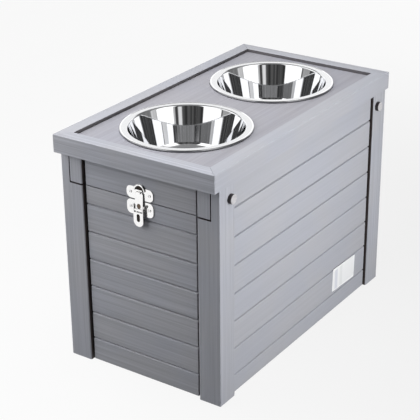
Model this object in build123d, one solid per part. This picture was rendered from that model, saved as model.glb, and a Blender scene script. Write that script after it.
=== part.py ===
from build123d import *
import os

# Elevated dog feeder: a planked storage box on four L-section corner posts, with a hinged lid that
# carries two steel bowls and is held shut by a toggle latch. Millimetres. +Z is up, the origin is on
# the floor under the middle of the lid, the latch end is -X (front) and the hinge end is +X (rear).
# Left is +Y and right is -Y, as seen by somebody facing the latch.

# ---- driving dimensions -------------------------------------------------------------------------
LENGTH = 544.0            # lid, along X
WIDTH = 300.0             # lid, along Y
HEIGHT = 398.0            # floor to the top of the rim

RIM_HEIGHT = 30.0
RIM_WIDTH = 23.0
RIM_ROUND = 0.8           # rounding of the rim's long outer edges
LID_PANEL_RECESS = 5.0    # lid panel's top below the rim's top
LID_PANEL_THICK = 12.0
TONGUE_DEPTH = 6.0        # lid panel's tongue in the rim's groove
TONGUE_THICK = 5.0

OVERHANG_FRONT = 15.0     # lid past the post faces
OVERHANG_REAR = 8.0
OVERHANG_SIDE = 1.5
LID_GAP = 0.4             # between the lid and the box under it

END_LEG = 40.0            # post leg seen from the ends, its full width along Y
SIDE_LEG = 41.5           # post leg seen from the sides, along X
POST_THICK = 15.0
POST_ROUND = 0.8          # outer corner
LEG_ROUND = 2.5           # the legs' long edges beside the planks
FACE_RECESS = 4.0         # planks behind the post faces
PLANK_THICK = 11.0
BACKING_THICK = 6.0
SLIT = 3.6                # gap between the planks and the posts
PANEL_FOOT = 2.5          # bottom of the planks above the floor

JOINT_Z = 316.5           # joint between the box and the lid's aprons, and the height of the hinge
JOINT_GAP = 1.6
BLOCK_GAP = 1.6           # between the lid's end blocks and the posts' side legs
BLOCK_LIFT = 0.9          # end blocks above the aprons' lower edge

GROOVE_PITCH = 48.4
GROOVE_HALF_WIDTH = 2.0
GROOVE_DEPTH = 3.6
END_GROOVES = 6
END_TOP_GROOVE_Z = 284.3
SIDE_GROOVES = 7
SIDE_TOP_GROOVE_Z = 323.6

FLOOR_TOP = 32.0
FLOOR_THICK = 12.0
CLEAT = 15.0

BOWL_CENTRE = 126.5       # along X, either side of the middle
BOWL_RIM_R = 105.8
BOWL_WALL_TOP_R = 93.0
BOWL_WALL_LOW_R = 74.6
BOWL_DEPTH = 66.0
BOWL_CORNER_R = 11.0
BOWL_LIP_R = 3.3
BOWL_STEEL = 1.0
BOWL_BEAD_R = 1.75        # rolled edge
BOWL_BEAD_PROUD = 0.45    # rolled edge above the flange
BOWL_SEAT_GAP = 0.3
BOWL_HOLE_R = 96.0

KNOB_R = 8.0
KNOB_HEIGHT = 6.5
KNOB_ROUND = 1.4
KNOB_Z = 346.0
KNOB_FROM_FACE = 29.0     # from the post's end face, along X
BOLT_R = 2.5
BOLT_INTO_KNOB = 4.0
BOLT_PAST_NUT = 1.5
NUT_AF = 8.0
NUT_THICK = 4.0
WASHER_R = 6.0
WASHER_THICK = 1.0

LABEL_SIZE = (79.0, 43.0)
LABEL_THICK = 0.25
LABEL_CENTRE = (142.0, 59.7)
LABEL_TILT = -2.5

# wood screws
SCREW_R = 1.75
SCREW_HEAD_R = 3.4
SCREW_HEAD_H = 1.4
HEAD_CROWN = 0.7          # share of a head's height that is rounded
SCREW_COVER = 4.0         # wood left in front of a screw's point
SCREW_FROM_LEG_EDGE = 9.0 # screws from the edge of the leg that they enter
SIDE_SCREW_RISE = 14.0    # side screws above the end screws, so that they clear each other
PANEL_SCREW_Z = (70.0, 185.0, 290.0)
APRON_SCREW_DROP = (20.0, 8.0)
CLEAT_SCREW_COVER = 2.0   # backing left in front of a cleat screw's point
SIDE_CLEAT_SCREW_X = (-150.0, 0.0, 150.0)
END_CLEAT_SCREW_Y = (-60.0, 60.0)

# hinges
HINGE_Y = 121.0           # middle of each hinge
HINGE_WIDTH = 24.0
HINGE_LEAF = 30.0
HINGE_SHEET = 1.6
HINGE_AXIS_OUT = 3.5      # hinge axis out from the post faces
KNUCKLE_R = 3.2
KNUCKLE_GAP = 0.4
HINGE_PIN_R = 1.5
HINGE_PIN_HEAD_R = 2.6
HINGE_PIN_HEAD_H = 1.0
HINGE_SCREW_R = 1.4
HINGE_SCREW_HEAD_R = 2.7
HINGE_SCREW_HEAD_H = 1.2
HINGE_SCREW_LENGTH = 13.0
HINGE_SCREW_UP = 19.0     # middle of a leaf's screw pair from the hinge axis
HINGE_SCREW_PAIR = ((-6.5, -5.0), (6.5, 4.0))   # across the leaf, and away from the axis
RUNNING = 0.05            # radial clearance of a turning fit

# toggle latch; distances "out" are from the plank face that carries it
LATCH_Y = -1.5            # the latch sits a little to the right of the middle
PLATE_WIDTH = 50.0
PLATE_SHEET = 1.2
KEEPER_HEIGHT = 20.0
BASE_HEIGHT = 24.0
PLATE_CORNER = 8.0
LATCH_SCREW_Y = 17.8      # either side of the latch's own middle
LATCH_SCREW_R = 1.4
LATCH_SCREW_HEAD_R = 2.6
LATCH_SCREW_HEAD_H = 1.0
LATCH_SCREW_LENGTH = 9.0
PLATE_FROM_JOINT = 1.1
ARCH_Z = JOINT_Z + 16.5
ARCH_R = 9.2
ARCH_WIRE_R = 1.7
TAB_HALF_WIDTH = 4.0
TAB_TIP = 6.0
TAB_Z = (JOINT_Z + 13.0, JOINT_Z + 15.0)
LEVER_AXIS_OUT = 4.2
LEVER_AXIS_Z = JOINT_Z - 9.0
LINK_DROP = 6.0           # link pin below the lever's pivot
BOSS_R = 2.6
CHEEK = (7.9, 9.1)        # lever's side cheeks, across Y
FLANGE = (9.6, 10.8)      # base plate's flanges, across Y
RIVET_R = 1.3
RIVET_HEAD_R = 2.2
RIVET_HEAD_H = 0.9
RIVET_STUB = 0.2          # rivet past the inner face of the cheek
LINK_PIN_R = 1.2
LEVER_FRONT = (5.3, 6.6)  # lever's front plate, out from the planks
LEVER_TOP_Z = JOINT_Z - 18.5
LEVER_TIP_Z = JOINT_Z - 42.0
SLOT_WIDTH = 6.0
SLOT_Z = (JOINT_Z - 34.0, JOINT_Z - 21.0)
CHEEK_FOOT = (0.5, 1.0)   # cheek's lower end: behind the front plate, and below the slot's end
LINK_SHEET = 1.2
LINK_HALF_WIDTH = 7.5
LINK_CURL_R = 2.5
LINK_TOP_Z = JOINT_Z + 18.2
LINK_TOP_OUT = 2.8
LINK_TOP_HALF_WIDTH = 6.0
LINK_NECK_Z = JOINT_Z + 11.0
LINK_SHOULDER = 1.0       # narrow top starts above the neck
WINDOW_Z = (JOINT_Z + 12.2, JOINT_Z + 15.3)
WINDOW_HALF_WIDTH = 4.5

PAST = 1.0                # how far a cutting block runs past what it cuts

# ---- levels and faces worked out from them ------------------------------------------------------
FRONT, REAR, LEFT, RIGHT = -1, 1, 1, -1
END_NAME = {FRONT: "front", REAR: "rear"}
SIDE_NAME = {LEFT: "left", RIGHT: "right"}
ENDS = (FRONT, REAR)
SIDES = (LEFT, RIGHT)

END_FACE = {FRONT: -LENGTH / 2 + OVERHANG_FRONT, REAR: LENGTH / 2 - OVERHANG_REAR}
SIDE_FACE = WIDTH / 2 - OVERHANG_SIDE
RIM_BOTTOM = HEIGHT - RIM_HEIGHT
BOX_TOP = RIM_BOTTOM - LID_GAP
LOW_TOP = JOINT_Z - JOINT_GAP / 2
APRON_BOTTOM = JOINT_Z + JOINT_GAP / 2
LID_PANEL_TOP = HEIGHT - LID_PANEL_RECESS
LID_PANEL_BOTTOM = LID_PANEL_TOP - LID_PANEL_THICK
TONGUE_Z = ((LID_PANEL_TOP + LID_PANEL_BOTTOM - TONGUE_THICK) / 2,
            (LID_PANEL_TOP + LID_PANEL_BOTTOM + TONGUE_THICK) / 2)
LEG_INSIDE = SIDE_FACE - POST_THICK
END_LEG_EDGE = SIDE_FACE - END_LEG
SKIN_DEPTH = FACE_RECESS + PLANK_THICK
INNER_DEPTH = SKIN_DEPTH + BACKING_THICK
SIDE_INSIDE = SIDE_FACE - INNER_DEPTH
LATCH_FACE = END_FACE[FRONT] + FACE_RECESS
HINGE_X = END_FACE[REAR] + HINGE_AXIS_OUT
BASE_Z = JOINT_Z - PLATE_FROM_JOINT - BASE_HEIGHT / 2
KEEPER_Z = JOINT_Z + PLATE_FROM_JOINT + KEEPER_HEIGHT / 2
LINK_PIN_Z = LEVER_AXIS_Z - LINK_DROP


# ---- small helpers ------------------------------------------------------------------------------
def block(x, y, z):
    """A box between pairs of limits, given in either order."""
    lo = [min(pair) for pair in (x, y, z)]
    hi = [max(pair) for pair in (x, y, z)]
    size = [b - a for a, b in zip(lo, hi)]
    middle = [(a + b) / 2 for a, b in zip(lo, hi)]
    return Pos(*middle) * Box(*size)


def rod(start, direction, radius, length):
    """A round bar from a point along a direction."""
    plane = Plane(origin=start, z_dir=direction)
    return extrude(plane * Circle(radius), length)


def screw(seat, direction, shank_r, head_r, head_h, length):
    """A pan-head screw: its head stands on the seat and its shank runs along the direction."""
    shank = rod(seat, direction, shank_r, length)
    outward = tuple(-d for d in direction)
    head = rod(seat, outward, head_r, head_h)
    crown = head.edges().sort_by(Axis(seat, outward))[-1]
    return shank + fillet(crown, head_h * HEAD_CROWN)


def group(solids):
    """Separate solids that share one node."""
    return Compound(children=[s.solid() for s in solids])


def less(body, cutters):
    """A body with several cutters taken away."""
    for cutter in cutters:
        body = body - cutter
    return body


def end_inward(end, depth):
    """The X that lies a depth inside an end's post face."""
    return END_FACE[end] - end * depth


# ---- box ----------------------------------------------------------------------------------------
def post_section(end, side, with_end_leg):
    """The post's plan: its side leg alone, or the whole L, with its outer corners rounded."""
    x0, x1 = END_FACE[end], end_inward(end, SIDE_LEG)
    y0, y1 = side * SIDE_FACE, side * LEG_INSIDE
    section = Pos((x0 + x1) / 2, (y0 + y1) / 2) * Rectangle(abs(x1 - x0), abs(y1 - y0))
    rounded = {(x0, y0): POST_ROUND, (x1, y0): LEG_ROUND}
    if with_end_leg:
        x2, y2 = end_inward(end, POST_THICK), side * END_LEG_EDGE
        leg = Pos((x0 + x2) / 2, (y1 + y2) / 2) * Rectangle(abs(x2 - x0), abs(y2 - y1))
        section = section + leg
        rounded[(x0, y2)] = LEG_ROUND
    for (x, y), radius in rounded.items():
        corner = section.vertices().sort_by_distance((x, y, 0))[0]
        section = fillet(corner, radius)
    return section


def corner_post(end, side):
    """L-section post: the end leg stops under the lid's end block, the side leg runs up to the rim."""
    low = extrude(post_section(end, side, True), LOW_TOP)
    high = Pos(0, 0, LOW_TOP) * extrude(post_section(end, side, False), BOX_TOP - LOW_TOP)
    return low + high


def grooved_section(bottom, top, grooves, plane):
    """The planks' section, as depth from their face and height, with V-grooves in the face."""
    points = [(0, bottom)]
    for z in sorted(grooves):
        points += [(0, z - GROOVE_HALF_WIDTH), (GROOVE_DEPTH, z), (0, z + GROOVE_HALF_WIDTH)]
    points += [(0, top), (PLANK_THICK, top), (PLANK_THICK, bottom)]
    return plane * make_face(Polyline(points, close=True))


def side_panel(side):
    """Long planked side with a backing board that laps behind the posts."""
    start = end_inward(FRONT, SIDE_LEG + SLIT)
    length = end_inward(REAR, SIDE_LEG + SLIT) - start
    face = side * (SIDE_FACE - FACE_RECESS)
    plane = Plane(origin=(start, face, 0), x_dir=(0, -side, 0), z_dir=(-side, 0, 0))
    grooves = [SIDE_TOP_GROOVE_Z - GROOVE_PITCH * i for i in range(SIDE_GROOVES)]
    section = grooved_section(PANEL_FOOT, BOX_TOP, grooves, plane)
    planks = extrude(section, length, dir=(1, 0, 0))
    backing = block((end_inward(FRONT, INNER_DEPTH + LID_GAP), end_inward(REAR, INNER_DEPTH + LID_GAP)),
                    (side * (SIDE_FACE - SKIN_DEPTH), side * SIDE_INSIDE), (PANEL_FOOT, BOX_TOP))
    return planks + backing


def end_panel(end):
    """Planked end below the apron, its backing between the side legs of the posts."""
    half = END_LEG_EDGE - SLIT
    plane = Plane(origin=(end_inward(end, FACE_RECESS), -half, 0), x_dir=(-end, 0, 0), z_dir=(0, end, 0))
    grooves = [END_TOP_GROOVE_Z - GROOVE_PITCH * i for i in range(END_GROOVES)]
    section = grooved_section(PANEL_FOOT, LOW_TOP, grooves, plane)
    planks = extrude(section, 2 * half, dir=(0, 1, 0))
    backing = block((end_inward(end, SKIN_DEPTH), end_inward(end, INNER_DEPTH)),
                    (-LEG_INSIDE, LEG_INSIDE), (PANEL_FOOT, LOW_TOP))
    return planks + backing


def floor_panel():
    """Bottom of the storage space."""
    return block((end_inward(FRONT, INNER_DEPTH), end_inward(REAR, INNER_DEPTH)),
                 (-SIDE_INSIDE, SIDE_INSIDE), (FLOOR_TOP - FLOOR_THICK, FLOOR_TOP))


def side_cleat(side):
    """Batten under the floor's long edge."""
    top = FLOOR_TOP - FLOOR_THICK
    return block((end_inward(FRONT, INNER_DEPTH), end_inward(REAR, INNER_DEPTH)),
                 (side * SIDE_INSIDE, side * (SIDE_INSIDE - CLEAT)), (top - CLEAT, top))


def end_cleat(end):
    """Batten under the floor's short edge, between the long battens."""
    top = FLOOR_TOP - FLOOR_THICK
    reach = SIDE_INSIDE - CLEAT
    return block((end_inward(end, INNER_DEPTH), end_inward(end, INNER_DEPTH + CLEAT)),
                 (-reach, reach), (top - CLEAT, top))


def wood_screw(seat, direction, length):
    return screw(seat, direction, SCREW_R, SCREW_HEAD_R, SCREW_HEAD_H, length)


def panel_screws():
    """Screws from inside, through each panel's backing into the post legs it laps."""
    length = BACKING_THICK + POST_THICK - SCREW_COVER
    out = []
    for end in ENDS:
        for side in SIDES:
            for z in PANEL_SCREW_Z:
                x = end_inward(end, SIDE_LEG - SCREW_FROM_LEG_EDGE)
                y = side * (END_LEG_EDGE + SCREW_FROM_LEG_EDGE)
                out.append(wood_screw((x, side * SIDE_INSIDE, z + SIDE_SCREW_RISE), (0, side, 0), length))
                out.append(wood_screw((end_inward(end, INNER_DEPTH), y, z), (end, 0, 0), length))
    return out


def cleat_screws():
    """Screws through the battens into the panels' backing."""
    length = CLEAT + BACKING_THICK - CLEAT_SCREW_COVER
    z = FLOOR_TOP - FLOOR_THICK - CLEAT / 2
    out = []
    for side in SIDES:
        for x in SIDE_CLEAT_SCREW_X:
            out.append(wood_screw((x, side * (SIDE_INSIDE - CLEAT), z), (0, side, 0), length))
    for end in ENDS:
        for y in END_CLEAT_SCREW_Y:
            out.append(wood_screw((end_inward(end, INNER_DEPTH + CLEAT), y, z), (end, 0, 0), length))
    return out


# ---- knobs on the side legs ---------------------------------------------------------------------
def knob_place(end, side):
    return end_inward(end, KNOB_FROM_FACE), side * SIDE_FACE, KNOB_Z


def post_knob(end, side):
    """Round moulded knob with softened edges, seated on the post."""
    seat = knob_place(end, side)
    knob = rod(seat, (0, side, 0), KNOB_R, KNOB_HEIGHT)
    outer = knob.edges().sort_by(Axis(seat, (0, side, 0)))[-1]
    return fillet(outer, KNOB_ROUND) - knob_bolt(end, side)


def knob_bolt(end, side):
    """Bolt moulded into the knob; it runs through the leg and the side panel's backing."""
    x, y, z = knob_place(end, side)
    start = (x, y + side * BOLT_INTO_KNOB, z)
    length = BOLT_INTO_KNOB + POST_THICK + BACKING_THICK + WASHER_THICK + NUT_THICK + BOLT_PAST_NUT
    return rod(start, (0, -side, 0), BOLT_R, length)


def knob_nut(end, side):
    """Hexagon nut and washer inside the box, drawn as one fixing."""
    x, y, z = knob_place(end, side)
    seat = Plane(origin=(x, side * SIDE_INSIDE, z), z_dir=(0, -side, 0))
    washer = extrude(seat * Circle(WASHER_R), WASHER_THICK)
    nut_plane = seat.offset(WASHER_THICK)
    nut = extrude(nut_plane * RegularPolygon(NUT_AF / 2, 6, major_radius=False), NUT_THICK)
    return washer + nut - knob_bolt(end, side)


def blank_label():
    """Plain sticker on the right side, slightly askew."""
    x, z = LABEL_CENTRE
    y = -(SIDE_FACE - FACE_RECESS) - LABEL_THICK / 2
    return Pos(x, y, z) * Rot(0, -LABEL_TILT, 0) * Box(LABEL_SIZE[0], LABEL_THICK, LABEL_SIZE[1])


# ---- lid ----------------------------------------------------------------------------------------
def rim_board(along_x, sign):
    """One mitred rim board, grooved for the lid panel's tongue."""
    run, outer = (LENGTH, WIDTH / 2) if along_x else (WIDTH, LENGTH / 2)
    inner = outer - RIM_WIDTH
    board = block((-run / 2, run / 2), (inner, outer), (RIM_BOTTOM, HEIGHT))
    long_edges = board.edges().filter_by(Axis.X).group_by(Axis.Y)[-1]
    board = fillet(long_edges, RIM_ROUND)
    inner_top = board.edges().filter_by(Axis.X).group_by(Axis.Z)[-1].sort_by(Axis.Y)[0]
    board = fillet(inner_top, RIM_ROUND / 2)
    board = board - block((-run / 2, run / 2), (inner, inner + TONGUE_DEPTH), TONGUE_Z)
    half, inside = run / 2, run / 2 - RIM_WIDTH
    tip = RIM_ROUND * (1 - 0.5 ** 0.5)
    mitred = [(-half + tip, outer - tip), (-half + RIM_ROUND, outer), (half - RIM_ROUND, outer),
              (half - tip, outer - tip), (inside, inner), (-inside, inner)]
    board = board & extrude(make_face(Polyline(mitred, close=True)), HEIGHT, dir=(0, 0, 1))
    turn = (0 if sign > 0 else 180) if along_x else (-90 if sign > 0 else 90)
    return Rot(0, 0, turn) * board


def lid_panel():
    """Recessed panel with a tongue all round and two bowl holes."""
    inner_x, inner_y = LENGTH / 2 - RIM_WIDTH, WIDTH / 2 - RIM_WIDTH
    panel = block((-inner_x, inner_x), (-inner_y, inner_y), (LID_PANEL_BOTTOM, LID_PANEL_TOP))
    tongue = block((-inner_x - TONGUE_DEPTH, inner_x + TONGUE_DEPTH),
                   (-inner_y - TONGUE_DEPTH, inner_y + TONGUE_DEPTH), TONGUE_Z)
    panel = panel + tongue
    for end in ENDS:
        panel = panel - rod((end * BOWL_CENTRE, 0, 0), (0, 0, 1), BOWL_HOLE_R, HEIGHT)
    return panel


def apron(end):
    """Grooveless plank under the rim's end, with a backing that reaches the lid panel."""
    half = END_LEG_EDGE - SLIT
    plank = block((end_inward(end, FACE_RECESS), end_inward(end, SKIN_DEPTH)),
                  (-half, half), (APRON_BOTTOM, RIM_BOTTOM))
    reach = WIDTH / 2 - RIM_WIDTH
    backing = block((end_inward(end, SKIN_DEPTH), end_inward(end, INNER_DEPTH)),
                    (-reach, reach), (APRON_BOTTOM, LID_PANEL_BOTTOM))
    rim_inner = end * (LENGTH / 2 - RIM_WIDTH)
    over_rim = block((rim_inner, rim_inner + end * RIM_WIDTH), (-reach, reach),
                     (RIM_BOTTOM, LID_PANEL_BOTTOM))
    return plank + (backing - over_rim)


def lid_block(end, side):
    """Block that fills the post's end leg above the joint and lifts with the lid."""
    part = block((END_FACE[end], end_inward(end, POST_THICK)),
                 (side * END_LEG_EDGE, side * (LEG_INSIDE - BLOCK_GAP)), (APRON_BOTTOM + BLOCK_LIFT, RIM_BOTTOM))
    face_edges = part.edges().filter_by(Axis.Z).group_by(Axis.X)[0 if end == FRONT else -1]
    middle_first = face_edges.sort_by(lambda edge: abs(edge.center().Y))
    return fillet(middle_first[0], LEG_ROUND)


def apron_screws():
    """Screws through each apron's backing into its end blocks."""
    length = BACKING_THICK + POST_THICK - SCREW_COVER
    out = []
    for end in ENDS:
        for side in SIDES:
            for drop in APRON_SCREW_DROP:
                y = side * (END_LEG_EDGE + SCREW_FROM_LEG_EDGE)
                seat = (end_inward(end, INNER_DEPTH), y, RIM_BOTTOM - drop)
                out.append(wood_screw(seat, (end, 0, 0), length))
    return out


# ---- bowls --------------------------------------------------------------------------------------
def bowl(end):
    """Pressed steel bowl: flat bottom, round corner, leaning wall, flange and rolled edge."""
    seat = LID_PANEL_TOP + BOWL_SEAT_GAP
    flange_top = seat + 2 * BOWL_BEAD_R - BOWL_BEAD_PROUD
    flange_low = flange_top - BOWL_STEEL
    floor_top = flange_top - BOWL_DEPTH
    floor_low = floor_top - BOWL_STEEL
    edge_r = BOWL_RIM_R - BOWL_BEAD_R
    inside = FilletPolyline((0, floor_top), (BOWL_WALL_LOW_R, floor_top), (BOWL_WALL_TOP_R, flange_top),
                            (edge_r, flange_top), radius=[BOWL_CORNER_R, BOWL_LIP_R])
    outside = FilletPolyline((0, floor_low), (BOWL_WALL_LOW_R + BOWL_STEEL, floor_low),
                             (BOWL_WALL_TOP_R + BOWL_STEEL, flange_low), (edge_r, flange_low),
                             radius=[BOWL_CORNER_R + BOWL_STEEL, BOWL_LIP_R - BOWL_STEEL])
    section = make_face(inside + outside + Line((0, floor_low), (0, floor_top))
                        + Line((edge_r, flange_low), (edge_r, flange_top)))
    bead = Pos(edge_r, seat + BOWL_BEAD_R) * Circle(BOWL_BEAD_R)
    section = Plane.XZ * (section + bead)
    return Pos(end * BOWL_CENTRE, 0, 0) * revolve(section, Axis.Z)


# ---- hinges -------------------------------------------------------------------------------------
def hinge_leaf(side, up):
    """One leaf: the lower one has the two outer knuckles, the upper one the middle knuckle."""
    middle = side * HINGE_Y
    half = HINGE_WIDTH / 2
    third = HINGE_WIDTH / 6
    spans = [(-third + KNUCKLE_GAP / 2, third - KNUCKLE_GAP / 2)] if up > 0 else \
            [(-half, -third - KNUCKLE_GAP / 2), (third + KNUCKLE_GAP / 2, half)]
    root_z = JOINT_Z + up * (KNUCKLE_R + KNUCKLE_GAP)
    x0 = END_FACE[REAR]
    leaf = block((x0, x0 + HINGE_SHEET), (middle - half, middle + half),
                 (root_z, JOINT_Z + up * HINGE_LEAF))
    bore_r = HINGE_PIN_R + (RUNNING if up > 0 else 0)
    for low, high in spans:
        neck = block((x0 + KNUCKLE_GAP, x0 + HINGE_SHEET), (middle + low, middle + high), (JOINT_Z, root_z))
        knuckle = rod((HINGE_X, middle + low, JOINT_Z), (0, 1, 0), KNUCKLE_R, high - low)
        leaf = leaf + neck + knuckle
    leaf = leaf - rod((HINGE_X, middle - half, JOINT_Z), (0, 1, 0), bore_r, HINGE_WIDTH)
    return less(leaf, hinge_leaf_screws(side, up))


def hinge_leaf_screws(side, up):
    """Two pan-head screws of one leaf."""
    x = END_FACE[REAR] + HINGE_SHEET
    out = []
    for across, rise in HINGE_SCREW_PAIR:
        seat = (x, side * (HINGE_Y + across), JOINT_Z + up * (HINGE_SCREW_UP + rise))
        out.append(screw(seat, (-1, 0, 0), HINGE_SCREW_R, HINGE_SCREW_HEAD_R, HINGE_SCREW_HEAD_H,
                         HINGE_SCREW_LENGTH))
    return out


def hinge_pin(side):
    """Pin with a head at each end."""
    start = side * HINGE_Y - HINGE_WIDTH / 2
    pin = rod((HINGE_X, start, JOINT_Z), (0, 1, 0), HINGE_PIN_R, HINGE_WIDTH)
    low_head = rod((HINGE_X, start, JOINT_Z), (0, -1, 0), HINGE_PIN_HEAD_R, HINGE_PIN_HEAD_H)
    high_head = rod((HINGE_X, start + HINGE_WIDTH, JOINT_Z), (0, 1, 0), HINGE_PIN_HEAD_R, HINGE_PIN_HEAD_H)
    return pin + low_head + high_head


# ---- toggle latch -------------------------------------------------------------------------------
def latch_x(out):
    """X of a point that stands a distance out from the plank face at the latch."""
    return LATCH_FACE - out


def latch_plane(out):
    """Drawing plane parallel to the plank face: its x is -Y and its y is +Z, extruding outward."""
    return Plane(origin=(latch_x(out), 0, 0), x_dir=(0, -1, 0), z_dir=(-1, 0, 0))


def latch_plate(z, height):
    outline = Pos(0, z) * RectangleRounded(PLATE_WIDTH, height, PLATE_CORNER)
    return extrude(latch_plane(0) * outline, PLATE_SHEET)


def side_profile(face, y_limits):
    """Extrude a face drawn as (out, z) across a pair of Y limits."""
    low, high = y_limits
    plane = Plane(origin=(LATCH_FACE, low, 0), x_dir=(-1, 0, 0), z_dir=(0, 1, 0))
    return extrude(plane * face, high - low, dir=(0, 1, 0))


def latch_screws(z):
    x = latch_x(PLATE_SHEET)
    return [screw((x, side * LATCH_SCREW_Y, z), (1, 0, 0), LATCH_SCREW_R, LATCH_SCREW_HEAD_R,
                  LATCH_SCREW_HEAD_H, LATCH_SCREW_LENGTH) for side in SIDES]


def keeper_plate():
    """Plate on the apron with a raised arch over a tab that the link drops on to."""
    plate = latch_plate(KEEPER_Z, KEEPER_HEIGHT)
    dome = extrude(latch_plane(0) * Pos(0, ARCH_Z) * Circle(ARCH_R + ARCH_WIRE_R), PLATE_SHEET)
    arch_axis = Axis((latch_x(0), 0, ARCH_Z), (1, 0, 0))
    wire_plane = Plane(origin=(latch_x(ARCH_WIRE_R), ARCH_R, ARCH_Z), z_dir=(0, 0, 1))
    arch = revolve(wire_plane * Circle(ARCH_WIRE_R), arch_axis, 180)
    window_r = ARCH_R - ARCH_WIRE_R
    window = extrude(latch_plane(-PAST) * Pos(0, ARCH_Z) * Circle(window_r), PLATE_SHEET + 2 * PAST)
    below = block((latch_x(-PAST), latch_x(PLATE_SHEET + PAST)), (-window_r, window_r),
                  (ARCH_Z - window_r, TAB_Z[1]))
    tab = block((latch_x(0), latch_x(TAB_TIP)), (-TAB_HALF_WIDTH, TAB_HALF_WIDTH), TAB_Z)
    body = plate + dome - (window - below)
    return less(body + arch + tab, latch_screws(KEEPER_Z))


def lever_pivot_rivet(side):
    """Stub rivet through the base plate's flange and the lever's cheek, headed outside."""
    x = latch_x(LEVER_AXIS_OUT)
    inner = CHEEK[0] - RIVET_STUB
    stub = rod((x, side * inner, LEVER_AXIS_Z), (0, side, 0), RIVET_R, FLANGE[1] - inner)
    head = rod((x, side * FLANGE[1], LEVER_AXIS_Z), (0, side, 0), RIVET_HEAD_R, RIVET_HEAD_H)
    return stub + head


def latch_base():
    """Plate on the front panel with two flanges that carry the lever."""
    plate = latch_plate(BASE_Z, BASE_HEIGHT)
    pivot = Pos(LEVER_AXIS_OUT, LEVER_AXIS_Z) * Circle(BOSS_R)
    foot = Pos(LEVER_AXIS_OUT / 2, LEVER_AXIS_Z) * Rectangle(LEVER_AXIS_OUT, 2 * BOSS_R)
    flange_face = pivot + foot - Pos(LEVER_AXIS_OUT, LEVER_AXIS_Z) * Circle(RIVET_R)
    for limits in (FLANGE, (-FLANGE[1], -FLANGE[0])):
        plate = plate + side_profile(flange_face, limits)
    return less(plate, latch_screws(BASE_Z))


def latch_lever():
    """Channel-shaped lever: two cheeks, a slotted front plate and a rounded finger end."""
    pivot = Pos(LEVER_AXIS_OUT, LEVER_AXIS_Z)
    pin = Pos(LEVER_AXIS_OUT, LINK_PIN_Z)
    back, front = LEVER_AXIS_OUT - BOSS_R, LEVER_AXIS_OUT + BOSS_R
    foot_out, foot_z = LEVER_FRONT[0] - CHEEK_FOOT[0], SLOT_Z[0] - CHEEK_FOOT[1]
    strap = make_face(Polyline([(back, LEVER_AXIS_Z), (front, LEVER_AXIS_Z), (front, LINK_PIN_Z),
                                (LEVER_FRONT[1], LEVER_TOP_Z), (LEVER_FRONT[1], foot_z),
                                (foot_out, foot_z), (back, LINK_PIN_Z)], close=True))
    cheek = strap + pivot * Circle(BOSS_R) + pin * Circle(BOSS_R)
    cheek = cheek - pivot * Circle(RIVET_R + RUNNING) - pin * Circle(LINK_PIN_R)
    half = CHEEK[1]
    round_z = LEVER_TIP_Z + half
    plate_face = Pos(0, (LEVER_TOP_Z + round_z) / 2) * Rectangle(2 * half, LEVER_TOP_Z - round_z)
    plate_face = plate_face + Pos(0, round_z) * Circle(half)
    slot_mid, slot_length = sum(SLOT_Z) / 2, SLOT_Z[1] - SLOT_Z[0]
    slot = Pos(0, slot_mid) * Rot(0, 0, 90) * SlotOverall(slot_length, SLOT_WIDTH)
    lever = extrude(latch_plane(LEVER_FRONT[0]) * (plate_face - slot), LEVER_FRONT[1] - LEVER_FRONT[0])
    for limits in (CHEEK, (-CHEEK[1], -CHEEK[0])):
        lever = lever + side_profile(cheek, limits)
    return lever


def latch_link_pin():
    """Pin of the link, fixed in the lever's cheeks."""
    return rod((latch_x(LEVER_AXIS_OUT), -CHEEK[1], LINK_PIN_Z), (0, 1, 0), LINK_PIN_R, 2 * CHEEK[1])


def latch_link():
    """Strap curled round its pin, with a window whose upper bar rests on the keeper's tab."""
    pin = Pos(LEVER_AXIS_OUT, LINK_PIN_Z)
    t = LINK_SHEET / 2
    base_out, top_out = LEVER_AXIS_OUT, LINK_TOP_OUT
    strap = make_face(Polyline([(base_out - t, LINK_PIN_Z), (base_out + t, LINK_PIN_Z),
                                (top_out + t, LINK_NECK_Z), (top_out + t, LINK_TOP_Z),
                                (top_out - t, LINK_TOP_Z), (top_out - t, LINK_NECK_Z)], close=True))
    face = strap + pin * Circle(LINK_CURL_R) - pin * Circle(LINK_PIN_R + RUNNING)
    link = side_profile(face, (-LINK_HALF_WIDTH, LINK_HALF_WIDTH))
    for side in SIDES:
        shoulder = block((latch_x(0), latch_x(TAB_TIP)),
                         (side * LINK_TOP_HALF_WIDTH, side * (LINK_HALF_WIDTH + PAST)),
                         (LINK_NECK_Z + LINK_SHOULDER, LINK_TOP_Z + PAST))
        link = link - shoulder
    window = block((latch_x(0), latch_x(TAB_TIP)), (-WINDOW_HALF_WIDTH, WINDOW_HALF_WIDTH), WINDOW_Z)
    return link - window


def at_latch(part):
    """A latch part, drawn on the middle line, put where the latch sits."""
    return Pos(0, LATCH_Y, 0) * part


# ---- assembly -----------------------------------------------------------------------------------
def fixed_fasteners():
    """Every group of screws, by node name."""
    return {
        "panel_screws": panel_screws(),
        "cleat_screws": cleat_screws(),
        "apron_screws": apron_screws(),
        "hinge_lower_screws": [s for side in SIDES for s in hinge_leaf_screws(side, -1)],
        "hinge_upper_screws": [s for side in SIDES for s in hinge_leaf_screws(side, 1)],
        "latch_base_screws": [at_latch(s) for s in latch_screws(BASE_Z)],
        "keeper_screws": [at_latch(s) for s in latch_screws(KEEPER_Z)],
    }


def reaches(cutter, body):
    """Whether two solids' boxes meet, so that a cut is worth making."""
    a, b = body.bounding_box(), cutter.bounding_box()
    return all(p <= q for p, q in zip(tuple(a.min), tuple(b.max))) and \
        all(p <= q for p, q in zip(tuple(b.min), tuple(a.max)))


def drilled(body, cutters):
    """A wooden part with the holes of the fasteners that reach it."""
    return less(body, [c for c in cutters if reaches(c, body)])


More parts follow.
